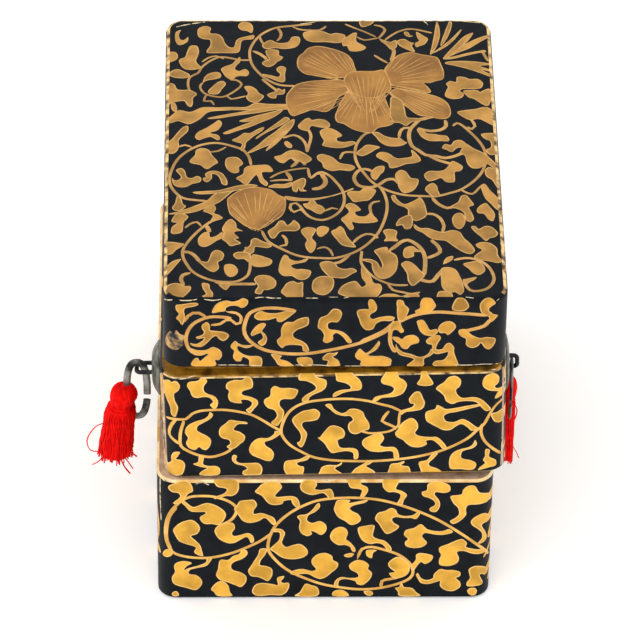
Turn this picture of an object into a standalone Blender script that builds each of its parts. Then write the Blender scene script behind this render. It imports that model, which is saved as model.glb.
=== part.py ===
"""Two tier lacquered food box with a lift off lid, two ring fittings and two silk tassels.

Metres, +Z up. The origin is the middle of the underside of the lower tier, X runs along the
narrow front, Y runs back from the front face, and every hollow piece keeps its real walls.
"""

import math

import bmesh
import bpy
from mathutils import Matrix, Vector

MM = 0.001

# Outer sizes of the three stacked pieces.
DEPTH = 95.0 * MM
LOWER_WIDTH = 70.9 * MM
UPPER_SWELL = 0.7 * MM
UPPER_WIDTH = LOWER_WIDTH + UPPER_SWELL
LID_SHRINK = 0.3 * MM
LID_WIDTH = LOWER_WIDTH - LID_SHRINK
LID_HEIGHT = 18.4 * MM
UPPER_HEIGHT = 28.0 * MM
LOWER_HEIGHT = 33.9 * MM
CORNER_RADIUS = 4.0 * MM

# Thicknesses of the wood.
SKIRT_WALL = 1.8 * MM
LID_PANEL = 2.2 * MM
TIER_FLOOR = 2.4 * MM
RISER_WALL = 1.4 * MM
SKIRT_RECESS = 6.0 * MM
RISER_CORNER = 1.6 * MM
EASED_EDGE = 0.5 * MM
LID_EDGE = 0.9 * MM
RISER_EDGE = 0.3 * MM

# How the pieces sit on each other: a worn stack that stands a little askew.
REST_GAP = 0.3 * MM
SIDE_PLAY = 0.2 * MM
LID_LIFT = 2.0 * MM
LID_SHIFT_X = 1.5 * MM
LID_SHIFT_Y = 0.0 * MM
UPPER_SHIFT_X = 2.3 * MM
UPPER_SHIFT_Y = 0.3 * MM
UPPER_TURN = math.radians(-0.4)
UPPER_TILT = math.radians(1.65)

# Side fittings of the upper tier.
FITTING_SETBACK = 19.5 * MM
FITTING_RISE = 14.0 * MM
WASHER_RADIUS = 6.3 * MM
WASHER_THICKNESS = 0.4 * MM
BOSS_RADIUS = 5.9 * MM
BOSS_FLAT_RADIUS = 2.6 * MM
LEFT_BOSS_HEIGHT = 1.75 * MM
RIGHT_BOSS_HEIGHT = 0.8 * MM
BOSS_RIM = 0.25 * MM
FITTING_GAP = 0.1 * MM
EYE_WIRE_RADIUS = 0.5 * MM
EYE_LEG_SPREAD = 1.5 * MM
EYE_HOLE_GAP = 0.15 * MM
EYE_BEND = 0.8 * MM
CLINCH_LENGTH = 2.4 * MM

# Rings of flattened wire.
RING_WIDTH = 6.0 * MM
RING_LENGTH = 16.8 * MM
RING_BAND = 1.7 * MM
RING_THICKNESS = 0.65 * MM
RING_SPLIT = 0.4 * MM
RING_SPLIT_ANGLE = math.radians(-12)
RING_ROUNDNESS = 0.8
LINK_GAP = 0.25 * MM

# Silk tassels, each a head, a knot and a skirt below its place on the ring.
LEFT_HEAD_DROP = 7.4 * MM
LEFT_HEAD_SHIFT = 0.5 * MM
HEAD_TOP_SHARE = 0.13
SKIRT_START_SHARE = 0.50
LEAN_POWER = 0.7
LEFT_TASSEL_LENGTH = 18.5 * MM
RIGHT_TASSEL_LENGTH = 24.5 * MM
LEFT_HEAD_RADIUS = 2.9 * MM
RIGHT_HEAD_RADIUS = 1.4 * MM
LEFT_KNOT_RADIUS = 3.7 * MM
RIGHT_KNOT_RADIUS = 1.4 * MM
LEFT_SKIRT_RADIUS = 3.9 * MM
RIGHT_SKIRT_RADIUS = 1.45 * MM
LEFT_TASSEL_LEAN = 2.9 * MM
RIGHT_TASSEL_LEAN = -0.4 * MM
TASSEL_GAP = 0.3 * MM
WALL_GAP = 0.45 * MM

# Mesh fineness.
CORNER_STEPS = 6
ROUND_SIDES = 40
WIRE_SIDES = 8
RING_STEPS = 44
TASSEL_SIDES = 20
SKIRT_STEPS = 7
DOME_STEPS = 5
BEND_STEPS = 4
BORE_SIDES = 16
SMOOTH_ANGLE = math.radians(40)
WIRE_SMOOTH_ANGLE = math.radians(50)


def clear_scene():
    for obj in list(bpy.data.objects):
        bpy.data.objects.remove(obj)


def make_material(name, colour, roughness, metallic):
    material = bpy.data.materials.new(name)
    material.use_nodes = True
    shader = material.node_tree.nodes["Principled BSDF"]
    shader.inputs["Base Color"].default_value = (*colour, 1.0)
    shader.inputs["Roughness"].default_value = roughness
    shader.inputs["Metallic"].default_value = metallic
    return material


def make_object(name, mesh_builder, material, pose=Matrix.Identity(4)):
    mesh = bpy.data.meshes.new(name)
    mesh_builder.normal_update()
    mesh_builder.to_mesh(mesh)
    mesh_builder.free()
    mesh.materials.append(material)
    obj = bpy.data.objects.new(name, mesh)
    obj.matrix_world = pose
    bpy.context.collection.objects.link(obj)
    return obj


def shade_round(obj, angle):
    obj.data.shade_smooth()
    obj.data.set_sharp_from_angle(angle=angle)


def bridge(builder, first, second):
    count = len(first)
    for i in range(count):
        j = (i + 1) % count
        builder.faces.new((first[i], first[j], second[j], second[i]))


def rounded_rectangle(half_x, half_y, radius):
    """Corner arcs of a rectangle, counter clockwise seen from above."""
    points = []
    for corner, (sign_x, sign_y) in enumerate(((1, 1), (-1, 1), (-1, -1), (1, -1))):
        for step in range(CORNER_STEPS + 1):
            angle = math.pi / 2 * (corner + step / CORNER_STEPS)
            x = sign_x * (half_x - radius) + radius * math.cos(angle)
            y = sign_y * (half_y - radius) + radius * math.sin(angle)
            points.append((x, y))
    return points


def hollow_ware(name, rows, material, pose):
    """Closed shell from rows of (half_x, half_y, radius, z), underside first, inside floor last."""
    builder = bmesh.new()
    rings = []
    for half_x, half_y, radius, z in rows:
        outline = rounded_rectangle(half_x, half_y, radius)
        rings.append([builder.verts.new((x, y, z)) for x, y in outline])
    for lower, upper in zip(rings, rings[1:]):
        bridge(builder, lower, upper)
    builder.faces.new(list(reversed(rings[0])))
    builder.faces.new(rings[-1])
    return make_object(name, builder, material, pose)


def outer_row(width, inset, z):
    return (width / 2 - inset, DEPTH / 2 - inset, CORNER_RADIUS - inset, z)


def skirt_rows(width, recess):
    """Recess ceiling, inside of the skirt and the eased lower edge of a lid or an upper tier."""
    wall = SKIRT_WALL
    ease = EASED_EDGE
    return [
        outer_row(width, wall, recess),
        outer_row(width, wall, ease),
        outer_row(width, wall - ease, 0.0),
        outer_row(width, ease, 0.0),
        outer_row(width, 0.0, ease),
    ]


def riser_rows(width, height, riser_half, rise, floor_top):
    """Eased shoulder, raised inner lip, straight inside walls and the inside floor."""
    half_x, half_y = riser_half
    edge = RISER_EDGE
    wall = RISER_WALL
    inner_x = half_x - wall
    inner_y = half_y - wall
    inner_corner = RISER_CORNER / 2
    top = height + rise
    return [
        outer_row(width, 0.0, height - EASED_EDGE),
        outer_row(width, EASED_EDGE, height),
        (half_x, half_y, RISER_CORNER, height),
        (half_x, half_y, RISER_CORNER, top - edge),
        (half_x - edge, half_y - edge, RISER_CORNER - edge, top),
        (inner_x + edge, inner_y + edge, inner_corner + edge, top),
        (inner_x, inner_y, inner_corner, top - edge),
        (inner_x, inner_y, inner_corner, floor_top),
    ]


def riser_half_sizes(covering_width, offset_x, offset_y, reach):
    """Largest lip that still fits its cover when the upper tier is shifted, turned and tilted."""
    cover_x = covering_width / 2 - SKIRT_WALL
    cover_y = DEPTH / 2 - SKIRT_WALL
    turn = abs(math.sin(UPPER_TURN))
    lean = reach * math.sin(UPPER_TILT)
    half_x = cover_x * math.cos(UPPER_TILT) - lean - cover_y * turn - abs(offset_x) - SIDE_PLAY
    half_y = cover_y - cover_x * turn - abs(offset_y) - SIDE_PLAY
    return half_x, half_y


def lathe(name, profile, material, pose):
    """Turned piece from a profile of (radius, height), underside first, capped at both ends."""
    builder = bmesh.new()
    rings = []
    for radius, height in profile:
        ring = []
        for i in range(ROUND_SIDES):
            angle = 2 * math.pi * i / ROUND_SIDES
            ring.append(builder.verts.new((radius * math.cos(angle), radius * math.sin(angle), height)))
        rings.append(ring)
    for lower, upper in zip(rings, rings[1:]):
        bridge(builder, lower, upper)
    builder.faces.new(list(reversed(rings[0])))
    builder.faces.new(rings[-1])
    obj = make_object(name, builder, material, pose)
    shade_round(obj, SMOOTH_ANGLE)
    return obj


def sweep(name, path, flat_normal, half_wide, half_thick, material):
    """Wire along an open path that lies in the plane with the given normal, with end caps.

    half_wide is measured in the plane of the path and half_thick along its normal.
    """
    builder = bmesh.new()
    rings = []
    last = len(path) - 1
    for i, point in enumerate(path):
        ahead = path[min(i + 1, last)]
        behind = path[max(i - 1, 0)]
        tangent = (ahead - behind).normalized()
        side = flat_normal.cross(tangent).normalized()
        ring = []
        for k in range(WIRE_SIDES):
            angle = 2 * math.pi * (k + 0.5) / WIRE_SIDES
            offset = side * (half_wide * math.cos(angle)) + flat_normal * (half_thick * math.sin(angle))
            ring.append(builder.verts.new(point + offset))
        rings.append(ring)
    for first, second in zip(rings, rings[1:]):
        bridge(builder, first, second)
    builder.faces.new(list(reversed(rings[0])))
    builder.faces.new(rings[-1])
    bmesh.ops.recalc_face_normals(builder, faces=builder.faces)
    obj = make_object(name, builder, material)
    shade_round(obj, WIRE_SMOOTH_ANGLE)
    return obj


def ring_path(centre, across, up, grow=0.0):
    """Centre line of the split ring: a superellipse with its split low on the inner limb."""
    half_a = RING_WIDTH / 2 - RING_BAND / 2
    half_b = RING_LENGTH / 2 - RING_BAND / 2
    split_angle = (RING_SPLIT / 2 - grow) / half_a
    start = RING_SPLIT_ANGLE + split_angle
    end = start + 2 * math.pi - 2 * split_angle
    points = []
    for i in range(RING_STEPS + 1):
        angle = start + (end - start) * i / RING_STEPS
        c = math.cos(angle)
        s = math.sin(angle)
        x = half_a * math.copysign(abs(c) ** RING_ROUNDNESS, c)
        z = half_b * math.copysign(abs(s) ** RING_ROUNDNESS, s)
        points.append(centre + across * x + up * z)
    return points


def arc_points(centre, radius, start, end):
    points = []
    for i in range(BEND_STEPS + 1):
        angle = start + (end - start) * i / BEND_STEPS
        points.append((centre[0] + radius * math.cos(angle), centre[1] + radius * math.sin(angle)))
    return points


def eye_outline(reach, wall):
    """Half of the bent staple as (outward, sideways), from its clinched end to its bar."""
    spread = EYE_LEG_SPREAD
    inside = -wall - FITTING_GAP - EYE_WIRE_RADIUS
    clinch_end = (inside, spread + EYE_BEND + CLINCH_LENGTH)
    clinch = arc_points((inside + EYE_BEND, spread + EYE_BEND), EYE_BEND, math.pi, 1.5 * math.pi)
    bar = reach - EYE_WIRE_RADIUS
    corner = arc_points((bar - EYE_BEND, spread - EYE_BEND), EYE_BEND, math.pi / 2, 0.0)
    return [clinch_end] + clinch + corner


def tassel(name, stations, material, cutter):
    """Soft body of revolution round a spine of (centre, radius) stations, notched for its ring."""
    builder = bmesh.new()
    rings = []
    for centre, radius in stations:
        ring = []
        for k in range(TASSEL_SIDES):
            angle = 2 * math.pi * k / TASSEL_SIDES
            ring.append(builder.verts.new(centre + Vector((math.cos(angle), math.sin(angle), 0)) * radius))
        rings.append(ring)
    for first, second in zip(rings, rings[1:]):
        bridge(builder, first, second)
    builder.faces.new(list(reversed(rings[0])))
    builder.faces.new(rings[-1])
    obj = make_object(name, builder, material)
    cut = obj.modifiers.new("ring_channel", "BOOLEAN")
    cut.operation = "DIFFERENCE"
    cut.solver = "EXACT"
    cut.object = cutter
    shade_round(obj, WIRE_SMOOTH_ANGLE)
    return obj


def tassel_stations(head, length, head_radius, knot_radius, skirt_radius, lean):
    """Head ball, neck, knot, neck and flared skirt, each a share of the tassel's own length."""
    head_bulge = ((0.0, 0.30), (0.025, 0.66), (0.07, 0.92), (HEAD_TOP_SHARE, 1.0), (0.19, 0.93), (0.24, 0.80))
    knot_bulge = ((0.30, 0.78), (0.35, 0.92), (0.40, 1.0), (0.45, 0.99), (SKIRT_START_SHARE, 0.94))
    stations = [(along, head_radius * share) for along, share in head_bulge]
    stations += [(along, knot_radius * share) for along, share in knot_bulge]
    first_skirt = stations[-1][1]
    for i in range(1, SKIRT_STEPS + 1):
        t = i / SKIRT_STEPS
        along = SKIRT_START_SHARE + (1 - SKIRT_START_SHARE) * t
        stations.append((along, first_skirt + (skirt_radius - first_skirt) * math.sin(t * math.pi / 2)))
    placed = []
    top = head + Vector((0, 0, HEAD_TOP_SHARE * length))
    for along, radius in reversed(stations):
        drift = lean * max(0.0, along - HEAD_TOP_SHARE) ** LEAN_POWER
        placed.append((top + Vector((drift, 0, -along * length)), radius))
    return placed


def hide_cutter(obj):
    obj.hide_render = True
    obj.display_type = "WIRE"


def bore_cutter(name, pose, depth):
    """Two round pins through a side fitting, one for each leg of its eye."""
    builder = bmesh.new()
    radius = EYE_WIRE_RADIUS + EYE_HOLE_GAP
    for side in (-1, 1):
        place = pose @ Matrix.Translation((side * EYE_LEG_SPREAD, 0, 0))
        bmesh.ops.create_cone(
            builder, cap_ends=True, segments=BORE_SIDES, radius1=radius, radius2=radius,
            depth=depth, matrix=place)
    obj = make_object(name, builder, LACQUER)
    hide_cutter(obj)
    return obj


def bore(obj, cutter):
    cut = obj.modifiers.new("bores", "BOOLEAN")
    cut.operation = "DIFFERENCE"
    cut.solver = "EXACT"
    cut.object = cutter


def wall_frame(side):
    """Frame of a side fitting in the upper tier: its Z points straight out of the side wall."""
    place = Matrix.Translation((side * UPPER_WIDTH / 2, FITTING_SETBACK - DEPTH / 2, FITTING_RISE))
    return UPPER_POSE @ place @ Matrix.Rotation(side * math.pi / 2, 4, "Y")


def build_stack():
    outer = LOWER_WIDTH
    base = [outer_row(outer, EASED_EDGE, 0.0), outer_row(outer, 0.0, EASED_EDGE)]
    hollow_ware(
        "lower_tier",
        base + riser_rows(outer, LOWER_HEIGHT, LOWER_RISER_HALF, LOWER_RISE, TIER_FLOOR),
        LACQUER, Matrix.Identity(4))
    upper = hollow_ware(
        "upper_tier",
        skirt_rows(UPPER_WIDTH, SKIRT_RECESS)
        + riser_rows(UPPER_WIDTH, UPPER_HEIGHT, UPPER_RISER_HALF, UPPER_RISE, SKIRT_RECESS + TIER_FLOOR),
        LACQUER, UPPER_POSE)
    edge = LID_EDGE
    edge_middle = edge * (1 - math.cos(math.pi / 4))
    hollow_ware(
        "lid",
        skirt_rows(LID_WIDTH, LID_HEIGHT - LID_PANEL) + [
            outer_row(LID_WIDTH, 0.0, LID_HEIGHT - edge),
            outer_row(LID_WIDTH, edge_middle, LID_HEIGHT - edge_middle),
            outer_row(LID_WIDTH, edge, LID_HEIGHT),
        ],
        LACQUER, LID_POSE)
    for obj in bpy.data.objects:
        shade_round(obj, SMOOTH_ANGLE)
    return upper


def boss_face(boss_height):
    return 2 * FITTING_GAP + WASHER_THICKNESS + boss_height


def build_fitting(side, label, upper, boss_height, reach, eye_turn):
    frame = wall_frame(side)
    eye_frame = frame @ Matrix.Rotation(eye_turn, 4, "Z")
    wall = UPPER_WIDTH / 2 - UPPER_RISER_HALF[0] + RISER_WALL
    cutter = bore_cutter(label + "_bores", eye_frame, 4 * wall)
    bore(upper, cutter)

    rim = WASHER_THICKNESS / 3
    washer = lathe(label + "_washer", [
        (WASHER_RADIUS, 0.0),
        (WASHER_RADIUS, WASHER_THICKNESS - rim),
        (WASHER_RADIUS - rim, WASHER_THICKNESS),
    ], PALE_METAL, frame @ Matrix.Translation((0, 0, FITTING_GAP)))
    bore(washer, cutter)

    dome = [(BOSS_RADIUS, 0.0), (BOSS_RADIUS, BOSS_RIM)]
    for i in range(1, DOME_STEPS + 1):
        t = i / DOME_STEPS
        radius = BOSS_RADIUS + (BOSS_FLAT_RADIUS - BOSS_RADIUS) * t
        height = BOSS_RIM + (boss_height - BOSS_RIM) * math.sin(t * math.pi / 2)
        dome.append((radius, height))
    boss_pose = frame @ Matrix.Translation((0, 0, 2 * FITTING_GAP + WASHER_THICKNESS))
    bore(lathe(label + "_boss", dome, GREY_METAL, boss_pose), cutter)

    half = eye_outline(reach, wall)
    outline = half + [(x, -u) for x, u in reversed(half)]
    path = [eye_frame @ Vector((u, 0.0, x)) for x, u in outline]
    normal = (eye_frame.to_3x3() @ Vector((0, 1, 0))).normalized()
    sweep(label + "_eye", path, normal, EYE_WIRE_RADIUS, EYE_WIRE_RADIUS, GREY_METAL)


def build_ring(label, centre, across, normal):
    up = Vector((0, 0, 1))
    half_band = RING_BAND / 2
    half_thick = RING_THICKNESS / 2
    sweep(label + "_ring", ring_path(centre, across, up), normal, half_band, half_thick, GREY_METAL)
    cutter = sweep(
        label + "_ring_clearance", ring_path(centre, across, up, RING_SPLIT / 2), normal,
        half_band + TASSEL_GAP, half_thick + TASSEL_GAP, GREY_METAL)
    hide_cutter(cutter)
    return cutter


def build_left_hanging():
    """The left eye lies flat, so its ring hangs facing the front."""
    frame = wall_frame(-1)
    bar = frame @ Vector((0, 0, LEFT_EYE_REACH - EYE_WIRE_RADIUS))
    ring_top = EYE_WIRE_RADIUS + LINK_GAP + RING_BAND
    centre = bar + Vector((0, 0, ring_top - RING_LENGTH / 2))
    cutter = build_ring("left", centre, Vector((1, 0, 0)), Vector((0, 1, 0)))
    limb_offset = (RING_WIDTH - RING_BAND) / 2
    head = bar + Vector((-limb_offset - LEFT_HEAD_SHIFT, 0, -LEFT_HEAD_DROP))
    stations = tassel_stations(
        head, LEFT_TASSEL_LENGTH, LEFT_HEAD_RADIUS, LEFT_KNOT_RADIUS, LEFT_SKIRT_RADIUS,
        -LEFT_TASSEL_LEAN)
    tassel("left_tassel", stations, RED_SILK, cutter)


def build_right_hanging():
    """The right eye stands upright, so its ring hangs edge on, flat along the wall."""
    frame = wall_frame(1)
    slot = boss_face(RIGHT_BOSS_HEIGHT) + LINK_GAP + RING_THICKNESS / 2
    slot_middle = frame @ Vector((0, 0, slot))
    lower_leg = slot_middle - Vector((0, 0, EYE_LEG_SPREAD))
    ring_top = EYE_WIRE_RADIUS + LINK_GAP + RING_BAND
    centre = lower_leg + Vector((0, 0, ring_top - RING_LENGTH / 2))
    cutter = build_ring("right", centre, Vector((0, -1, 0)), Vector((1, 0, 0)))
    limb_offset = (RING_WIDTH - RING_BAND) / 2
    head_drop = BOSS_RADIUS + TASSEL_GAP + HEAD_TOP_SHARE * RIGHT_TASSEL_LENGTH
    head_reach = WALL_GAP + head_drop * math.sin(UPPER_TILT) + RIGHT_HEAD_RADIUS
    head = slot_middle + Vector((head_reach - slot, limb_offset, -head_drop))
    stations = tassel_stations(
        head, RIGHT_TASSEL_LENGTH, RIGHT_HEAD_RADIUS, RIGHT_KNOT_RADIUS, RIGHT_SKIRT_RADIUS,
        RIGHT_TASSEL_LEAN)
    tassel("right_tassel", stations, RED_SILK, cutter)


clear_scene()

LACQUER = make_material("dark_lacquer", (0.012, 0.014, 0.022), 0.28, 0.0)
PALE_METAL = make_material("pale_metal", (0.55, 0.50, 0.38), 0.45, 1.0)
GREY_METAL = make_material("grey_metal", (0.20, 0.20, 0.18), 0.40, 1.0)
RED_SILK = make_material("red_silk", (0.60, 0.01, 0.01), 0.55, 0.0)

TILT_RISE = UPPER_WIDTH / 2 * math.sin(UPPER_TILT)
UPPER_BASE = LOWER_HEIGHT + REST_GAP + TILT_RISE
UPPER_POSE = (
    Matrix.Translation((UPPER_SHIFT_X, UPPER_SHIFT_Y, UPPER_BASE))
    @ Matrix.Rotation(UPPER_TURN, 4, "Z")
    @ Matrix.Rotation(-UPPER_TILT, 4, "Y"))
LOWER_RISE = SKIRT_RECESS * math.cos(UPPER_TILT) + SKIRT_WALL * math.sin(UPPER_TILT)
LOWER_RISER_HALF = riser_half_sizes(UPPER_WIDTH, UPPER_SHIFT_X, UPPER_SHIFT_Y, SKIRT_RECESS)

LID_BASE = UPPER_BASE + UPPER_HEIGHT + LID_LIFT
LID_POSE = Matrix.Translation((LID_SHIFT_X, LID_SHIFT_Y, LID_BASE))
LID_CEILING = LID_BASE + LID_HEIGHT - LID_PANEL
UPPER_RISER_HALF = riser_half_sizes(
    LID_WIDTH, LID_SHIFT_X - UPPER_SHIFT_X, LID_SHIFT_Y - UPPER_SHIFT_Y, LID_CEILING - UPPER_BASE)
UPPER_RISE = (
    (LID_CEILING - REST_GAP - UPPER_BASE - UPPER_RISER_HALF[0] * math.sin(UPPER_TILT))
    / math.cos(UPPER_TILT) - UPPER_HEIGHT)

LEFT_EYE_REACH = boss_face(LEFT_BOSS_HEIGHT) + LINK_GAP + RING_WIDTH / 2 + EYE_WIRE_RADIUS
RIGHT_EYE_REACH = boss_face(RIGHT_BOSS_HEIGHT) + 2 * LINK_GAP + RING_THICKNESS + 2 * EYE_WIRE_RADIUS

upper_tier = build_stack()
build_fitting(-1, "left", upper_tier, LEFT_BOSS_HEIGHT, LEFT_EYE_REACH, math.pi / 2)
build_fitting(1, "right", upper_tier, RIGHT_BOSS_HEIGHT, RIGHT_EYE_REACH, 0.0)
build_left_hanging()
build_right_hanging()
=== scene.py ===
"""Looks of the stacked food box: gold scroll on dark lacquer, ring fittings and red silk tassels."""

import copy
import math
import random

import bpy
import numpy
from mathutils import Matrix, Vector
from mathutils.geometry import delaunay_2d_cdt


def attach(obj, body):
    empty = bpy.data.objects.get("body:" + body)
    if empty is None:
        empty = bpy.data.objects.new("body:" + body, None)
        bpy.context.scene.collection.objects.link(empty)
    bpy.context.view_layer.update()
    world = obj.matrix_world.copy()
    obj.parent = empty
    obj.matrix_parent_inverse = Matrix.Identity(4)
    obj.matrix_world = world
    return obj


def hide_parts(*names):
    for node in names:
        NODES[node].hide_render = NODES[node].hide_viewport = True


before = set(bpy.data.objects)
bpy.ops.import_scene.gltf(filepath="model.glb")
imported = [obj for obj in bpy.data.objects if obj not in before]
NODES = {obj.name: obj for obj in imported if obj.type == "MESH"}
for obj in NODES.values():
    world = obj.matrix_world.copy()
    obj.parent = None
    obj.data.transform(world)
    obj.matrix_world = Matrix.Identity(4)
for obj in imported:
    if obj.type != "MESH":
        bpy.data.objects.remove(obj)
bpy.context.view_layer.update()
MM = 0.001

# The photograph's camera: where it looks, from how far, and its angles.
CAMERA_TARGET = Vector((-0.38611, 4.06387, 34.47199)) * MM
CAMERA_DISTANCE = 1126.10341 * MM
CAMERA_AZIMUTH = 0.02423
CAMERA_ELEVATION = 0.70342
CAMERA_ROLL = 0.01447
CAMERA_LENS = 291.27
CAMERA_CLIP = (0.05, 20.0)
SENSOR = 36.0
PHOTO_SIZE = 640
PHOTO_FOCUS = CAMERA_LENS / SENSOR * PHOTO_SIZE

# Sizes of the wood, in mm, as the part has them.
DEPTH = 95.0
LOWER_WIDTH = 70.9
UPPER_WIDTH = 71.6
LID_WIDTH = 70.6
LID_HEIGHT = 18.4
UPPER_HEIGHT = 28.0
LOWER_HEIGHT = 33.9
CORNER = 4.0
SKIRT_WALL = 1.8
SKIRT_RECESS = 6.0
LID_CEILING = 16.2
TIER_FLOOR = 2.4
RISER_WALL = 1.4
RISER_CORNER = 1.6
RISER_EDGE = 0.3
EASED_EDGE = 0.5
LID_EDGE = 0.9
LOWER_RISER = (30.994, 44.963)
LOWER_RISER_TOP = 39.949
UPPER_RISER = (30.837, 44.966)
UPPER_RISER_TOP = 45.03
UPPER_PLACE = (2.3, 0.3, 35.2308)
UPPER_TURN = math.radians(-0.4)
UPPER_TILT = math.radians(1.65)
LID_PLACE = (1.5, 0.0, 65.2308)
ARC_STEPS = 8

LOWER_POSE = Matrix.Identity(4)
LID_POSE = Matrix.Translation(LID_PLACE)
UPPER_POSE = (
    Matrix.Translation(UPPER_PLACE)
    @ Matrix.Rotation(UPPER_TURN, 4, "Z")
    @ Matrix.Rotation(-UPPER_TILT, 4, "Y"))

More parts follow.
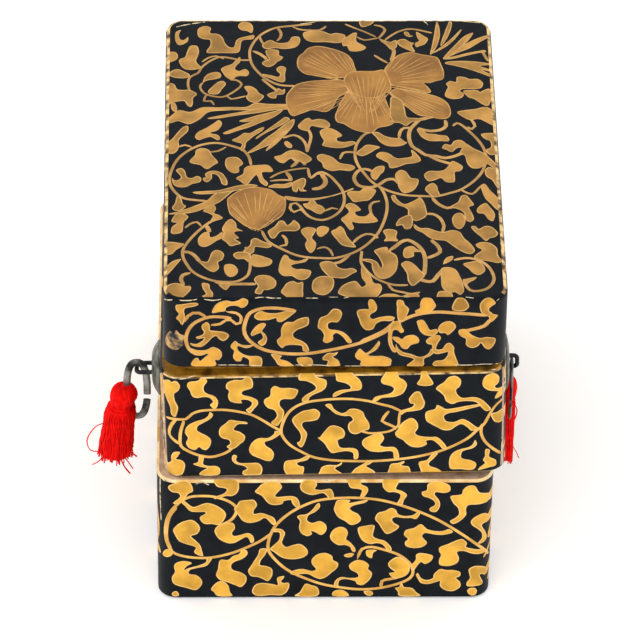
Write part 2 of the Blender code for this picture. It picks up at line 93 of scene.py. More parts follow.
# Gold drawing, read from the photograph: x, y, x, y... in its pixels.
# A leaf is a closed outline, a vine is its width and then its line.
LOWER_LEAVES = (
    (178, 482, 186, 481, 191, 484, 193, 491, 188, 494, 184, 500, 178, 504, 173, 503, 180, 497, 178, 493,
     172, 492, 168, 488, 170, 485),
    (215, 480, 236, 480, 239, 487, 237, 493, 232, 496, 226, 496, 220, 498, 214, 499, 217, 496, 223, 494,
     227, 490, 224, 488, 218, 487, 215, 484),
    (262, 484, 268, 482, 278, 482, 282, 487, 278, 492, 275, 496, 279, 497, 290, 496, 297, 498, 300, 505,
     297, 508, 292, 503, 291, 500, 284, 501, 282, 504, 274, 505, 268, 503, 262, 496, 255, 492, 258, 488),
    (302, 482, 308, 480, 315, 481, 317, 485, 315, 489, 322, 490, 331, 489, 334, 497, 330, 500, 326, 495,
     322, 493, 312, 495, 303, 492, 300, 487),
    (183, 500, 187, 503, 193, 507, 200, 505, 207, 503, 215, 505, 222, 509, 226, 514, 224, 520, 219, 525,
     212, 524, 205, 524, 201, 521, 200, 517, 205, 514, 205, 512, 196, 512, 190, 511, 185, 506, 181, 502),
    (180, 523, 185, 521, 192, 520, 198, 524, 200, 529, 197, 534, 191, 536, 195, 540, 200, 545, 202, 551,
     203, 556, 198, 555, 194, 552, 196, 548, 193, 546, 186, 544, 179, 541, 175, 535, 173, 530, 176, 526),
    (219, 525, 226, 523, 233, 523, 235, 528, 232, 533, 234, 536, 240, 535, 248, 533, 253, 536, 254, 541,
     251, 543, 249, 539, 246, 537, 240, 540, 234, 543, 227, 543, 219, 539, 215, 533, 215, 529),
    (240, 501, 248, 500, 254, 500, 257, 505, 254, 510, 254, 514, 261, 513, 268, 515, 274, 518, 276, 523,
     273, 525, 268, 520, 264, 518, 259, 521, 250, 523, 243, 521, 239, 516, 236, 512, 234, 509, 237, 505),
    (176, 563, 184, 561, 192, 563, 187, 566, 184, 570, 189, 568, 200, 565, 206, 562, 207, 558, 212, 558,
     210, 562, 206, 566, 197, 568, 190, 570, 189, 574, 196, 575, 201, 579, 202, 584, 198, 589, 194, 590,
     187, 588, 179, 586, 173, 583, 172, 577, 175, 572, 174, 567),
    (220, 560, 228, 560, 233, 556, 239, 554, 242, 549, 247, 551, 247, 555, 242, 559, 234, 562, 231, 566,
     233, 570, 240, 572, 246, 576, 246, 582, 241, 587, 235, 585, 227, 582, 220, 580, 216, 575, 218, 569),
    (260, 549, 267, 549, 265, 555, 261, 560, 260, 565, 266, 566, 272, 569, 272, 576, 268, 581, 263, 579,
     258, 577, 251, 576, 248, 571, 251, 566, 254, 561, 258, 555),
    (163, 552, 167, 549, 173, 550, 172, 555, 167, 557, 163, 555),
    (172, 593, 176, 591, 179, 594, 178, 596, 173, 596),
    (211, 589, 216, 583, 222, 581, 228, 585, 230, 592, 232, 596, 218, 596, 214, 592),
    (255, 585, 262, 583, 272, 584, 278, 585, 277, 578, 284, 576, 283, 579, 281, 581, 283, 583, 289, 583,
     288, 590, 282, 595, 270, 595, 258, 596, 252, 592),
    (305, 584, 311, 585, 318, 588, 317, 596, 295, 596, 300, 592),
    (274, 529, 281, 529, 285, 533, 283, 539, 282, 543, 286, 547, 293, 545, 300, 544, 306, 548, 308, 553,
     304, 557, 296, 559, 288, 559, 281, 557, 274, 552, 270, 549, 275, 544, 279, 540, 280, 534, 278, 532,
     274, 532),
    (297, 517, 300, 515, 307, 514, 313, 509, 316, 505, 319, 503, 320, 507, 315, 512, 309, 515, 307, 520,
     312, 523, 320, 521, 326, 525, 326, 531, 321, 535, 315, 532, 311, 531, 312, 534, 307, 536, 301, 533,
     299, 527, 300, 521),
    (318, 554, 326, 553, 332, 556, 333, 560, 338, 563, 337, 568, 331, 573, 326, 577, 320, 579, 314, 577,
     308, 574, 300, 574, 294, 575, 290, 573, 295, 570, 303, 569, 312, 571, 316, 569, 312, 564, 312, 559),
    (338, 500, 350, 500, 349, 503, 360, 501, 368, 500, 364, 503, 355, 505, 350, 508, 352, 511, 358, 514,
     361, 519, 358, 523, 351, 525, 345, 521, 338, 517, 334, 510, 335, 505),
    (378, 513, 385, 511, 391, 508, 396, 510, 398, 514, 405, 516, 413, 515, 419, 511, 420, 514, 416, 519,
     411, 518, 403, 518, 396, 517, 392, 519, 394, 523, 399, 526, 396, 530, 387, 534, 382, 529, 379, 524,
     375, 519),
    (406, 530, 414, 528, 421, 524, 427, 529, 435, 531, 443, 531, 449, 529, 453, 532, 448, 534, 441, 535,
     432, 534, 425, 533, 422, 536, 424, 539, 427, 543, 422, 547, 413, 548, 406, 546, 405, 542, 408, 539,
     404, 535),
    (333, 530, 339, 527, 345, 528, 348, 533, 346, 539, 350, 542, 355, 548, 355, 552, 352, 551, 350, 547,
     345, 545, 338, 545, 332, 541, 330, 536),
    (358, 528, 364, 526, 374, 525, 374, 530, 373, 536, 378, 539, 385, 541, 391, 547, 391, 551, 387, 550,
     383, 545, 377, 543, 370, 544, 363, 541, 359, 535),
    (344, 555, 350, 553, 354, 554, 351, 557, 346, 557),
    (367, 550, 377, 550, 373, 553, 372, 558, 368, 557, 366, 554),
    (390, 561, 396, 557, 402, 558, 407, 562, 410, 566, 409, 572, 405, 576, 398, 578, 392, 577, 389, 573,
     395, 572, 390, 568, 388, 564),
    (351, 563, 357, 560, 364, 561, 369, 565, 368, 569, 372, 573, 370, 579, 363, 585, 357, 584, 355, 581,
     345, 579, 339, 581, 338, 587, 334, 587, 335, 581, 341, 577, 350, 578, 358, 577, 357, 573, 351, 570,
     349, 566),
    (347, 479, 361, 479, 361, 484, 367, 487, 368, 491, 364, 497, 360, 497, 362, 491, 359, 489, 351, 488,
     348, 483),
    (384, 479, 399, 479, 398, 484, 396, 489, 402, 491, 407, 495, 404, 500, 402, 505, 397, 504, 400, 498,
     400, 494, 394, 492, 388, 492, 383, 487),
    (428, 484, 437, 481, 445, 483, 450, 486, 450, 491, 444, 493, 436, 492, 435, 495, 439, 500, 440, 506,
     436, 512, 430, 511, 430, 508, 435, 505, 434, 501, 429, 498, 423, 496, 422, 492, 427, 490),
    (463, 490, 468, 486, 475, 486, 479, 492, 484, 493, 490, 493, 489, 500, 480, 504, 469, 505, 466, 509,
     466, 515, 460, 521, 453, 524, 450, 521, 455, 518, 459, 514, 458, 508, 454, 504, 451, 499, 451, 496,
     458, 495, 462, 494),
    (475, 517, 481, 514, 486, 513, 490, 515, 489, 520, 484, 523, 482, 526, 486, 532, 487, 538, 482, 543,
     478, 543, 482, 538, 482, 533, 478, 529, 472, 525, 471, 521),
    (416, 555, 420, 553, 428, 554, 433, 556, 431, 561, 425, 564, 421, 562, 417, 566, 413, 571, 411, 566,
     414, 562, 416, 559),
    (440, 547, 448, 544, 455, 541, 462, 539, 467, 543, 466, 547, 474, 549, 484, 549, 485, 552, 477, 554,
     470, 553, 464, 551, 457, 552, 459, 558, 457, 563, 449, 566, 440, 565, 439, 560, 441, 555, 439, 551),
    (434, 574, 440, 569, 446, 570, 453, 570, 460, 572, 460, 576, 456, 578, 460, 582, 460, 587, 453, 591,
     445, 590, 440, 586, 440, 581, 436, 582, 428, 584, 421, 583, 418, 579, 416, 575, 418, 573, 421, 578,
     427, 580, 433, 578),
    (469, 569, 475, 566, 483, 566, 488, 568, 487, 573, 481, 574, 480, 576, 483, 583, 475, 586, 467, 586,
     467, 582, 470, 578, 469, 573),
    (467, 591, 470, 588, 475, 588, 477, 591, 475, 595, 470, 595),
    (395, 588, 399, 587, 401, 583, 403, 585, 404, 587, 412, 588, 416, 592, 420, 596, 400, 596, 398, 592),
    (334, 591, 343, 590, 349, 596, 333, 596),
    (364, 591, 371, 591, 373, 594, 369, 596, 365, 594),
)
LOWER_VINES = (
    (3.2, 221, 525, 231, 520, 236, 513, 236, 507, 228, 501, 215, 497, 203, 496, 190, 497, 180, 502, 172,
     510, 167, 519, 165, 530, 166, 540, 170, 549, 176, 554, 188, 557, 203, 558, 215, 557, 232, 553, 250,
     546, 262, 540, 272, 533),
    (4.6, 176, 507, 169, 516, 166, 530, 167, 541, 171, 549),
    (3.2, 489, 553, 478, 545, 460, 533, 440, 521, 420, 512, 400, 505, 380, 500, 360, 498, 340, 498, 320,
     500, 305, 505, 290, 513, 277, 524, 270, 536, 268, 548, 272, 556, 282, 566, 293, 573, 307, 579, 322,
     584, 338, 587, 355, 589, 370, 589, 385, 587, 400, 583, 410, 578, 413, 572, 411, 565, 405, 559, 397,
     554, 385, 550, 372, 547, 362, 549, 358, 557),
    (3.4, 400, 577, 390, 579, 382, 581, 381, 588),
)
UPPER_LEAVES = (
    (164, 380, 169, 380, 171, 382, 176, 381, 180, 386, 178, 391, 174, 394, 175, 401, 178, 407, 177, 413,
     175, 417, 171, 414, 170, 407, 167, 400, 164, 392, 162, 386),
    (189, 382, 197, 381, 202, 378, 206, 379, 207, 382, 204, 386, 204, 391, 208, 394, 214, 396, 218, 401,
     217, 407, 214, 409, 210, 405, 213, 402, 210, 398, 204, 397, 197, 398, 192, 396, 190, 391, 187, 386),
    (227, 383, 234, 380, 242, 380, 246, 377, 251, 378, 253, 383, 252, 388, 246, 390, 242, 392, 243, 395,
     251, 397, 257, 400, 258, 404, 254, 409, 250, 413, 246, 410, 250, 407, 252, 403, 248, 400, 241, 400,
     242, 403, 236, 403, 230, 401, 228, 396, 229, 391, 226, 388),
    (271, 389, 275, 386, 281, 388, 290, 388, 298, 390, 296, 396, 292, 399, 284, 399, 280, 401, 280, 406,
     284, 411, 283, 418, 280, 423, 277, 426, 271, 423, 275, 419, 277, 415, 274, 410, 268, 408, 264, 403,
     265, 399, 270, 396),
    (299, 375, 304, 373, 313, 373, 317, 377, 326, 380, 326, 387, 322, 391, 315, 394, 310, 397, 308, 401,
     303, 402, 302, 399, 306, 395, 313, 391, 316, 388, 313, 384, 306, 381, 299, 380),
    (210, 412, 213, 415, 210, 419, 203, 423, 198, 426, 197, 430, 201, 433, 207, 436, 211, 440, 210, 446,
     206, 450, 202, 449, 199, 447, 195, 450, 189, 448, 186, 443, 188, 438, 185, 433, 186, 428, 190, 424,
     197, 421, 204, 419, 208, 416),
    (226, 423, 230, 420, 238, 421, 246, 422, 247, 424, 239, 424, 235, 427, 234, 430, 240, 432, 245, 436,
     244, 441, 240, 444, 238, 446, 233, 449, 228, 448, 227, 446, 230, 444, 229, 440, 222, 438, 219, 434,
     220, 428),
    (260, 438, 268, 438, 274, 434, 275, 431, 281, 432, 278, 436, 271, 440, 265, 442, 266, 446, 271, 449,
     274, 454, 272, 460, 267, 461, 259, 458, 252, 455, 249, 450, 251, 444, 255, 440),
    (174, 452, 180, 452, 178, 456, 176, 459, 181, 460, 185, 464, 184, 471, 181, 475, 173, 475, 167, 472,
     165, 467, 167, 463, 171, 461, 171, 456),
    (199, 456, 204, 457, 203, 464, 209, 466, 216, 466, 220, 469, 218, 475, 200, 475, 202, 471, 207, 468,
     201, 467, 193, 464, 198, 462),
    (233, 455, 237, 456, 236, 460, 240, 463, 250, 463, 258, 463, 262, 467, 262, 472, 259, 475, 244, 475,
     243, 471, 247, 469, 244, 466, 236, 464, 232, 460),
    (286, 461, 292, 460, 300, 459, 306, 456, 310, 456, 307, 460, 299, 462, 297, 464, 300, 466, 304, 467,
     303, 474, 300, 475, 288, 475, 284, 470, 284, 464),
    (322, 467, 328, 465, 337, 465, 342, 462, 341, 465, 335, 468, 338, 471, 341, 474, 320, 475, 320, 471),
    (308, 410, 315, 409, 320, 413, 318, 419, 312, 421, 304, 422, 302, 425, 304, 429, 307, 433, 306, 439,
     303, 446, 300, 447, 297, 443, 300, 441, 301, 436, 299, 431, 295, 426, 292, 420, 296, 415, 303, 411),
    (320, 437, 324, 432, 330, 426, 337, 426, 343, 429, 345, 434, 343, 438, 338, 440, 339, 446, 343, 448,
     353, 448, 358, 451, 358, 458, 354, 459, 353, 453, 347, 451, 339, 452, 332, 453, 328, 449, 324, 443,
     318, 438),
    (325, 405, 331, 404, 334, 409, 341, 413, 346, 412, 350, 409, 357, 409, 363, 412, 365, 417, 369, 423,
     369, 429, 363, 431, 357, 434, 351, 433, 348, 428, 349, 423, 353, 420, 350, 416, 344, 416, 336, 414,
     331, 410),
    (336, 372, 350, 371, 353, 374, 360, 380, 362, 386, 360, 390, 352, 391, 343, 393, 337, 396, 333, 397,
     334, 393, 341, 390, 350, 389, 350, 386, 345, 383, 337, 381, 336, 377),
    (388, 371, 397, 371, 399, 377, 404, 380, 407, 385, 404, 392, 400, 395, 393, 397, 382, 398, 377, 401,
     372, 402, 375, 397, 383, 395, 391, 393, 394, 389, 391, 386, 383, 384, 381, 380, 384, 375),
    (422, 371, 426, 371, 429, 376, 433, 382, 432, 385, 424, 386, 417, 384, 420, 379),
    (411, 396, 415, 392, 420, 392, 423, 398, 425, 403, 422, 409, 414, 411, 406, 412, 401, 415, 400, 411,
     406, 409, 412, 407, 414, 404, 410, 403, 409, 399),
    (438, 386, 444, 382, 449, 377, 456, 376, 461, 380, 460, 386, 456, 390, 458, 395, 463, 398, 473, 397,
     481, 399, 487, 404, 491, 409, 486, 411, 481, 407, 476, 402, 466, 401, 458, 402, 452, 404, 446, 401,
     444, 396, 440, 392, 436, 389),
    (435, 409, 437, 405, 442, 407, 446, 409, 455, 408, 466, 406, 480, 404, 480, 406, 468, 409, 456, 412,
     449, 413, 444, 416, 446, 421, 454, 422, 462, 419, 468, 421, 475, 426, 478, 428, 472, 431, 467, 427,
     461, 424, 455, 427, 450, 430, 443, 430, 437, 427, 431, 424, 426, 420, 426, 412),
    (400, 425, 406, 420, 412, 418, 417, 422, 418, 428, 415, 433, 420, 436, 430, 437, 437, 437, 443, 442,
     447, 448, 443, 449, 438, 444, 432, 440, 426, 441, 427, 444, 421, 447, 413, 447, 407, 444, 403, 440,
     397, 437, 395, 433, 398, 429),
    (364, 439, 372, 435, 380, 433, 384, 437, 383, 441, 380, 445, 385, 447, 394, 447, 398, 451, 399, 458,
     394, 458, 393, 452, 388, 451, 379, 452, 370, 451, 364, 447, 362, 443),
    (483, 380, 487, 375, 494, 373, 499, 376, 499, 382, 495, 386, 497, 388, 504, 386, 507, 389, 503, 394,
     500, 396, 501, 392, 496, 391, 488, 390, 483, 386),
    (491, 414, 497, 412, 503, 408, 505, 411, 504, 418, 499, 422, 494, 421),
    (475, 440, 477, 444, 473, 448, 466, 450, 462, 452, 461, 457, 464, 459, 470, 460, 476, 463, 475, 468,
     470, 470, 460, 469, 451, 469, 449, 464, 450, 457, 454, 452, 461, 449, 469, 447, 473, 444),
    (486, 449, 490, 450, 489, 456, 492, 458, 496, 460, 496, 465, 490, 467, 483, 469, 478, 470, 480, 467,
     485, 463, 483, 460, 485, 456, 485, 452),
    (356, 468, 363, 464, 368, 461, 373, 461, 370, 464, 366, 466, 371, 469, 375, 472, 373, 475, 352, 475,
     353, 471),
    (391, 464, 398, 463, 404, 461, 404, 463, 401, 465, 405, 466, 409, 467, 409, 474, 389, 474, 389, 469),
    (432, 454, 438, 453, 434, 458, 429, 463, 430, 466, 436, 468, 441, 471, 442, 474, 424, 474, 420, 468,
     419, 462, 427, 460),
)
UPPER_VINES = (
    (3.0, 166, 417, 175, 419, 186, 419, 192, 414, 200, 411, 212, 410, 226, 410, 240, 412, 252, 415, 262,
     420, 272, 426, 281, 431),
    (3.2, 184, 421, 181, 430, 180, 438, 181, 446, 188, 451, 198, 455, 210, 457, 220, 455, 229, 451, 234,
     445),
    (3.6, 175, 420, 170, 427, 169, 434, 174, 440, 180, 444),
    (3.0, 400, 411, 392, 407, 380, 404, 368, 401, 352, 399, 335, 399, 322, 400, 308, 402, 297, 406, 289,
     412, 284, 420, 281, 430, 283, 437, 290, 445, 300, 451, 313, 457, 330, 460, 350, 461, 375, 461, 400,
     459, 420, 456, 440, 451, 455, 445, 468, 438, 476, 431, 484, 424, 491, 412, 497, 404, 504, 397),
    (2.6, 400, 411, 399, 419, 398, 426, 390, 431, 378, 433, 368, 433, 362, 431),
    (3.2, 389, 411, 384, 417, 382, 421, 390, 425, 397, 428),
    (3.0, 482, 424, 481, 432, 484, 440, 491, 447, 501, 453),
)
LID_LEAVES = (
    (176, 305, 184, 304, 190, 303, 197, 303, 198, 305, 192, 307, 186, 308, 184, 311, 185, 316, 184, 322,
     182, 325, 179, 321, 176, 318, 179, 314, 176, 310),
    (202, 325, 207, 322, 210, 326, 210, 330, 216, 331, 224, 332, 229, 335, 227, 339, 223, 341, 219, 339,
     216, 336, 212, 338, 207, 343, 201, 347, 193, 346, 190, 343, 196, 344, 202, 341, 204, 338, 198, 339,
     196, 337, 202, 335, 204, 332, 202, 329),
    (212, 313, 214, 307, 218, 303, 226, 301, 232, 302, 238, 301, 243, 299, 248, 301, 247, 305, 242, 308,
     237, 306, 230, 306, 226, 308, 225, 311, 219, 312),
    (190, 348, 197, 350, 206, 350, 213, 347, 220, 350, 222, 355, 219, 360, 215, 360, 215, 366, 192, 366,
     194, 359, 198, 358, 200, 361, 205, 357, 208, 354, 200, 354, 192, 352),
    (231, 345, 235, 341, 238, 343, 243, 345, 250, 345, 254, 344, 251, 347, 245, 348, 238, 346, 238, 350,
     243, 354, 250, 356, 258, 356, 262, 359, 261, 366, 250, 366, 249, 360, 243, 357, 241, 361, 236, 361,
     233, 357, 234, 351, 231, 348),
    (254, 316, 260, 311, 268, 313, 278, 313, 286, 311, 296, 311, 293, 314, 288, 318, 281, 322, 277, 321,
     276, 318, 268, 320, 258, 320),
    (251, 333, 256, 326, 262, 323, 266, 324, 264, 328, 262, 331, 265, 334, 267, 338, 266, 343, 262, 346,
     258, 343, 259, 341, 263, 338, 261, 333, 257, 334, 252, 336),
    (283, 325, 287, 322, 293, 322, 298, 319, 307, 317, 309, 320, 308, 325, 302, 328, 297, 330, 293, 334,
     295, 338, 302, 341, 307, 345, 309, 351, 303, 351, 302, 346, 296, 345, 289, 345, 285, 346, 282, 348,
     278, 344, 277, 340, 281, 336, 281, 330),
    (297, 358, 311, 358, 312, 366, 301, 366),
    (271, 354, 279, 355, 282, 356, 280, 359, 287, 361, 293, 365, 293, 366, 280, 366, 275, 360),
    (318, 324, 320, 318, 327, 315, 333, 309, 340, 310, 342, 315, 338, 322, 332, 322, 328, 324, 329, 329,
     336, 330, 343, 332, 349, 337, 352, 342, 348, 343, 343, 337, 337, 333, 333, 335, 333, 340, 327, 343,
     323, 341, 324, 335, 321, 330, 318, 328),
    (323, 357, 328, 353, 334, 353, 338, 352, 336, 355, 333, 357, 338, 360, 340, 364, 339, 366, 327, 366,
     328, 361, 323, 360),
    (355, 355, 359, 349, 362, 350, 366, 353, 372, 349, 377, 343, 379, 341, 380, 344, 376, 350, 368, 355,
     375, 356, 383, 356, 391, 359, 391, 363, 388, 366, 362, 366, 361, 361, 357, 359),
    (358, 310, 365, 309, 369, 309, 368, 303, 370, 300, 374, 301, 377, 306, 376, 311, 371, 314, 370, 317,
     373, 319, 380, 317, 390, 316, 395, 318, 391, 321, 382, 321, 376, 324, 373, 329, 366, 330, 361, 325,
     359, 319, 357, 314),
    (397, 301, 403, 301, 405, 305, 409, 309, 407, 315, 405, 320, 399, 321, 397, 315, 397, 308),
    (420, 304, 423, 299, 431, 299, 434, 302, 436, 306, 432, 311, 428, 314, 418, 314, 415, 311, 420, 308),
    (453, 304, 457, 299, 464, 299, 468, 303, 469, 307, 464, 311, 456, 311, 452, 309),
    (480, 304, 486, 299, 492, 299, 496, 303, 492, 306, 489, 309, 491, 313, 498, 315, 496, 318, 493, 321,
     490, 322, 489, 317, 485, 315, 481, 312),
    (459, 330, 465, 329, 468, 331, 472, 335, 480, 338, 487, 337, 495, 338, 495, 343, 490, 349, 485, 348,
     481, 343, 478, 346, 472, 348, 466, 345, 466, 339, 462, 337, 459, 334),
    (392, 323, 399, 321, 402, 327, 404, 331, 401, 333, 397, 330, 393, 331, 392, 338, 393, 345, 397, 351,
     393, 352, 389, 345, 388, 337, 389, 329),
    (392, 337, 398, 337, 402, 339, 406, 336, 414, 335, 419, 339, 418, 343, 411, 345, 407, 349, 402, 348,
     399, 344, 395, 341),
    (396, 344, 398, 348, 403, 352, 411, 354, 420, 357, 428, 354, 431, 349, 434, 352, 430, 356, 424, 359,
     423, 366, 407, 366, 411, 362, 414, 359, 408, 357, 400, 355, 396, 350),
    (417, 321, 423, 320, 427, 325, 430, 330, 436, 329, 438, 332, 433, 336, 425, 335, 420, 331, 418, 326),
    (438, 329, 441, 324, 448, 321, 454, 323, 456, 327, 453, 331, 448, 335, 445, 333, 440, 333),
    (426, 341, 430, 337, 438, 335, 441, 338, 438, 343, 436, 349, 442, 349, 446, 344, 450, 343, 454, 347,
     454, 352, 456, 358, 457, 366, 434, 366, 435, 361, 443, 360, 447, 356, 448, 352, 443, 353, 436, 354,
     432, 351, 432, 345, 428, 344),
)
LID_VINES = (
    (3.6, 231, 318, 222, 317, 210, 317, 200, 320, 192, 325, 187, 333, 186, 341, 189, 349, 196, 354, 204,
     354),
    (3.4, 184, 322, 188, 316, 193, 313, 199, 313, 206, 317),
    (3.0, 228, 312, 236, 313, 241, 317, 240, 323, 236, 324, 231, 320, 226, 320, 220, 324, 211, 325),
    (3.8, 296, 311, 285, 309, 272, 308, 260, 309, 250, 313, 246, 320, 244, 330, 247, 338, 255, 345, 265,
     350, 280, 353, 296, 354, 312, 353, 330, 350, 345, 347, 360, 343, 372, 338, 385, 331, 395, 324, 403,
     320, 412, 316, 425, 313, 440, 312, 455, 313, 470, 314, 485, 315, 492, 313),
    (4.0, 491, 319, 484, 326, 474, 329, 465, 331, 461, 333),
    (5.5, 361, 342, 373, 337, 385, 331, 396, 322),
)
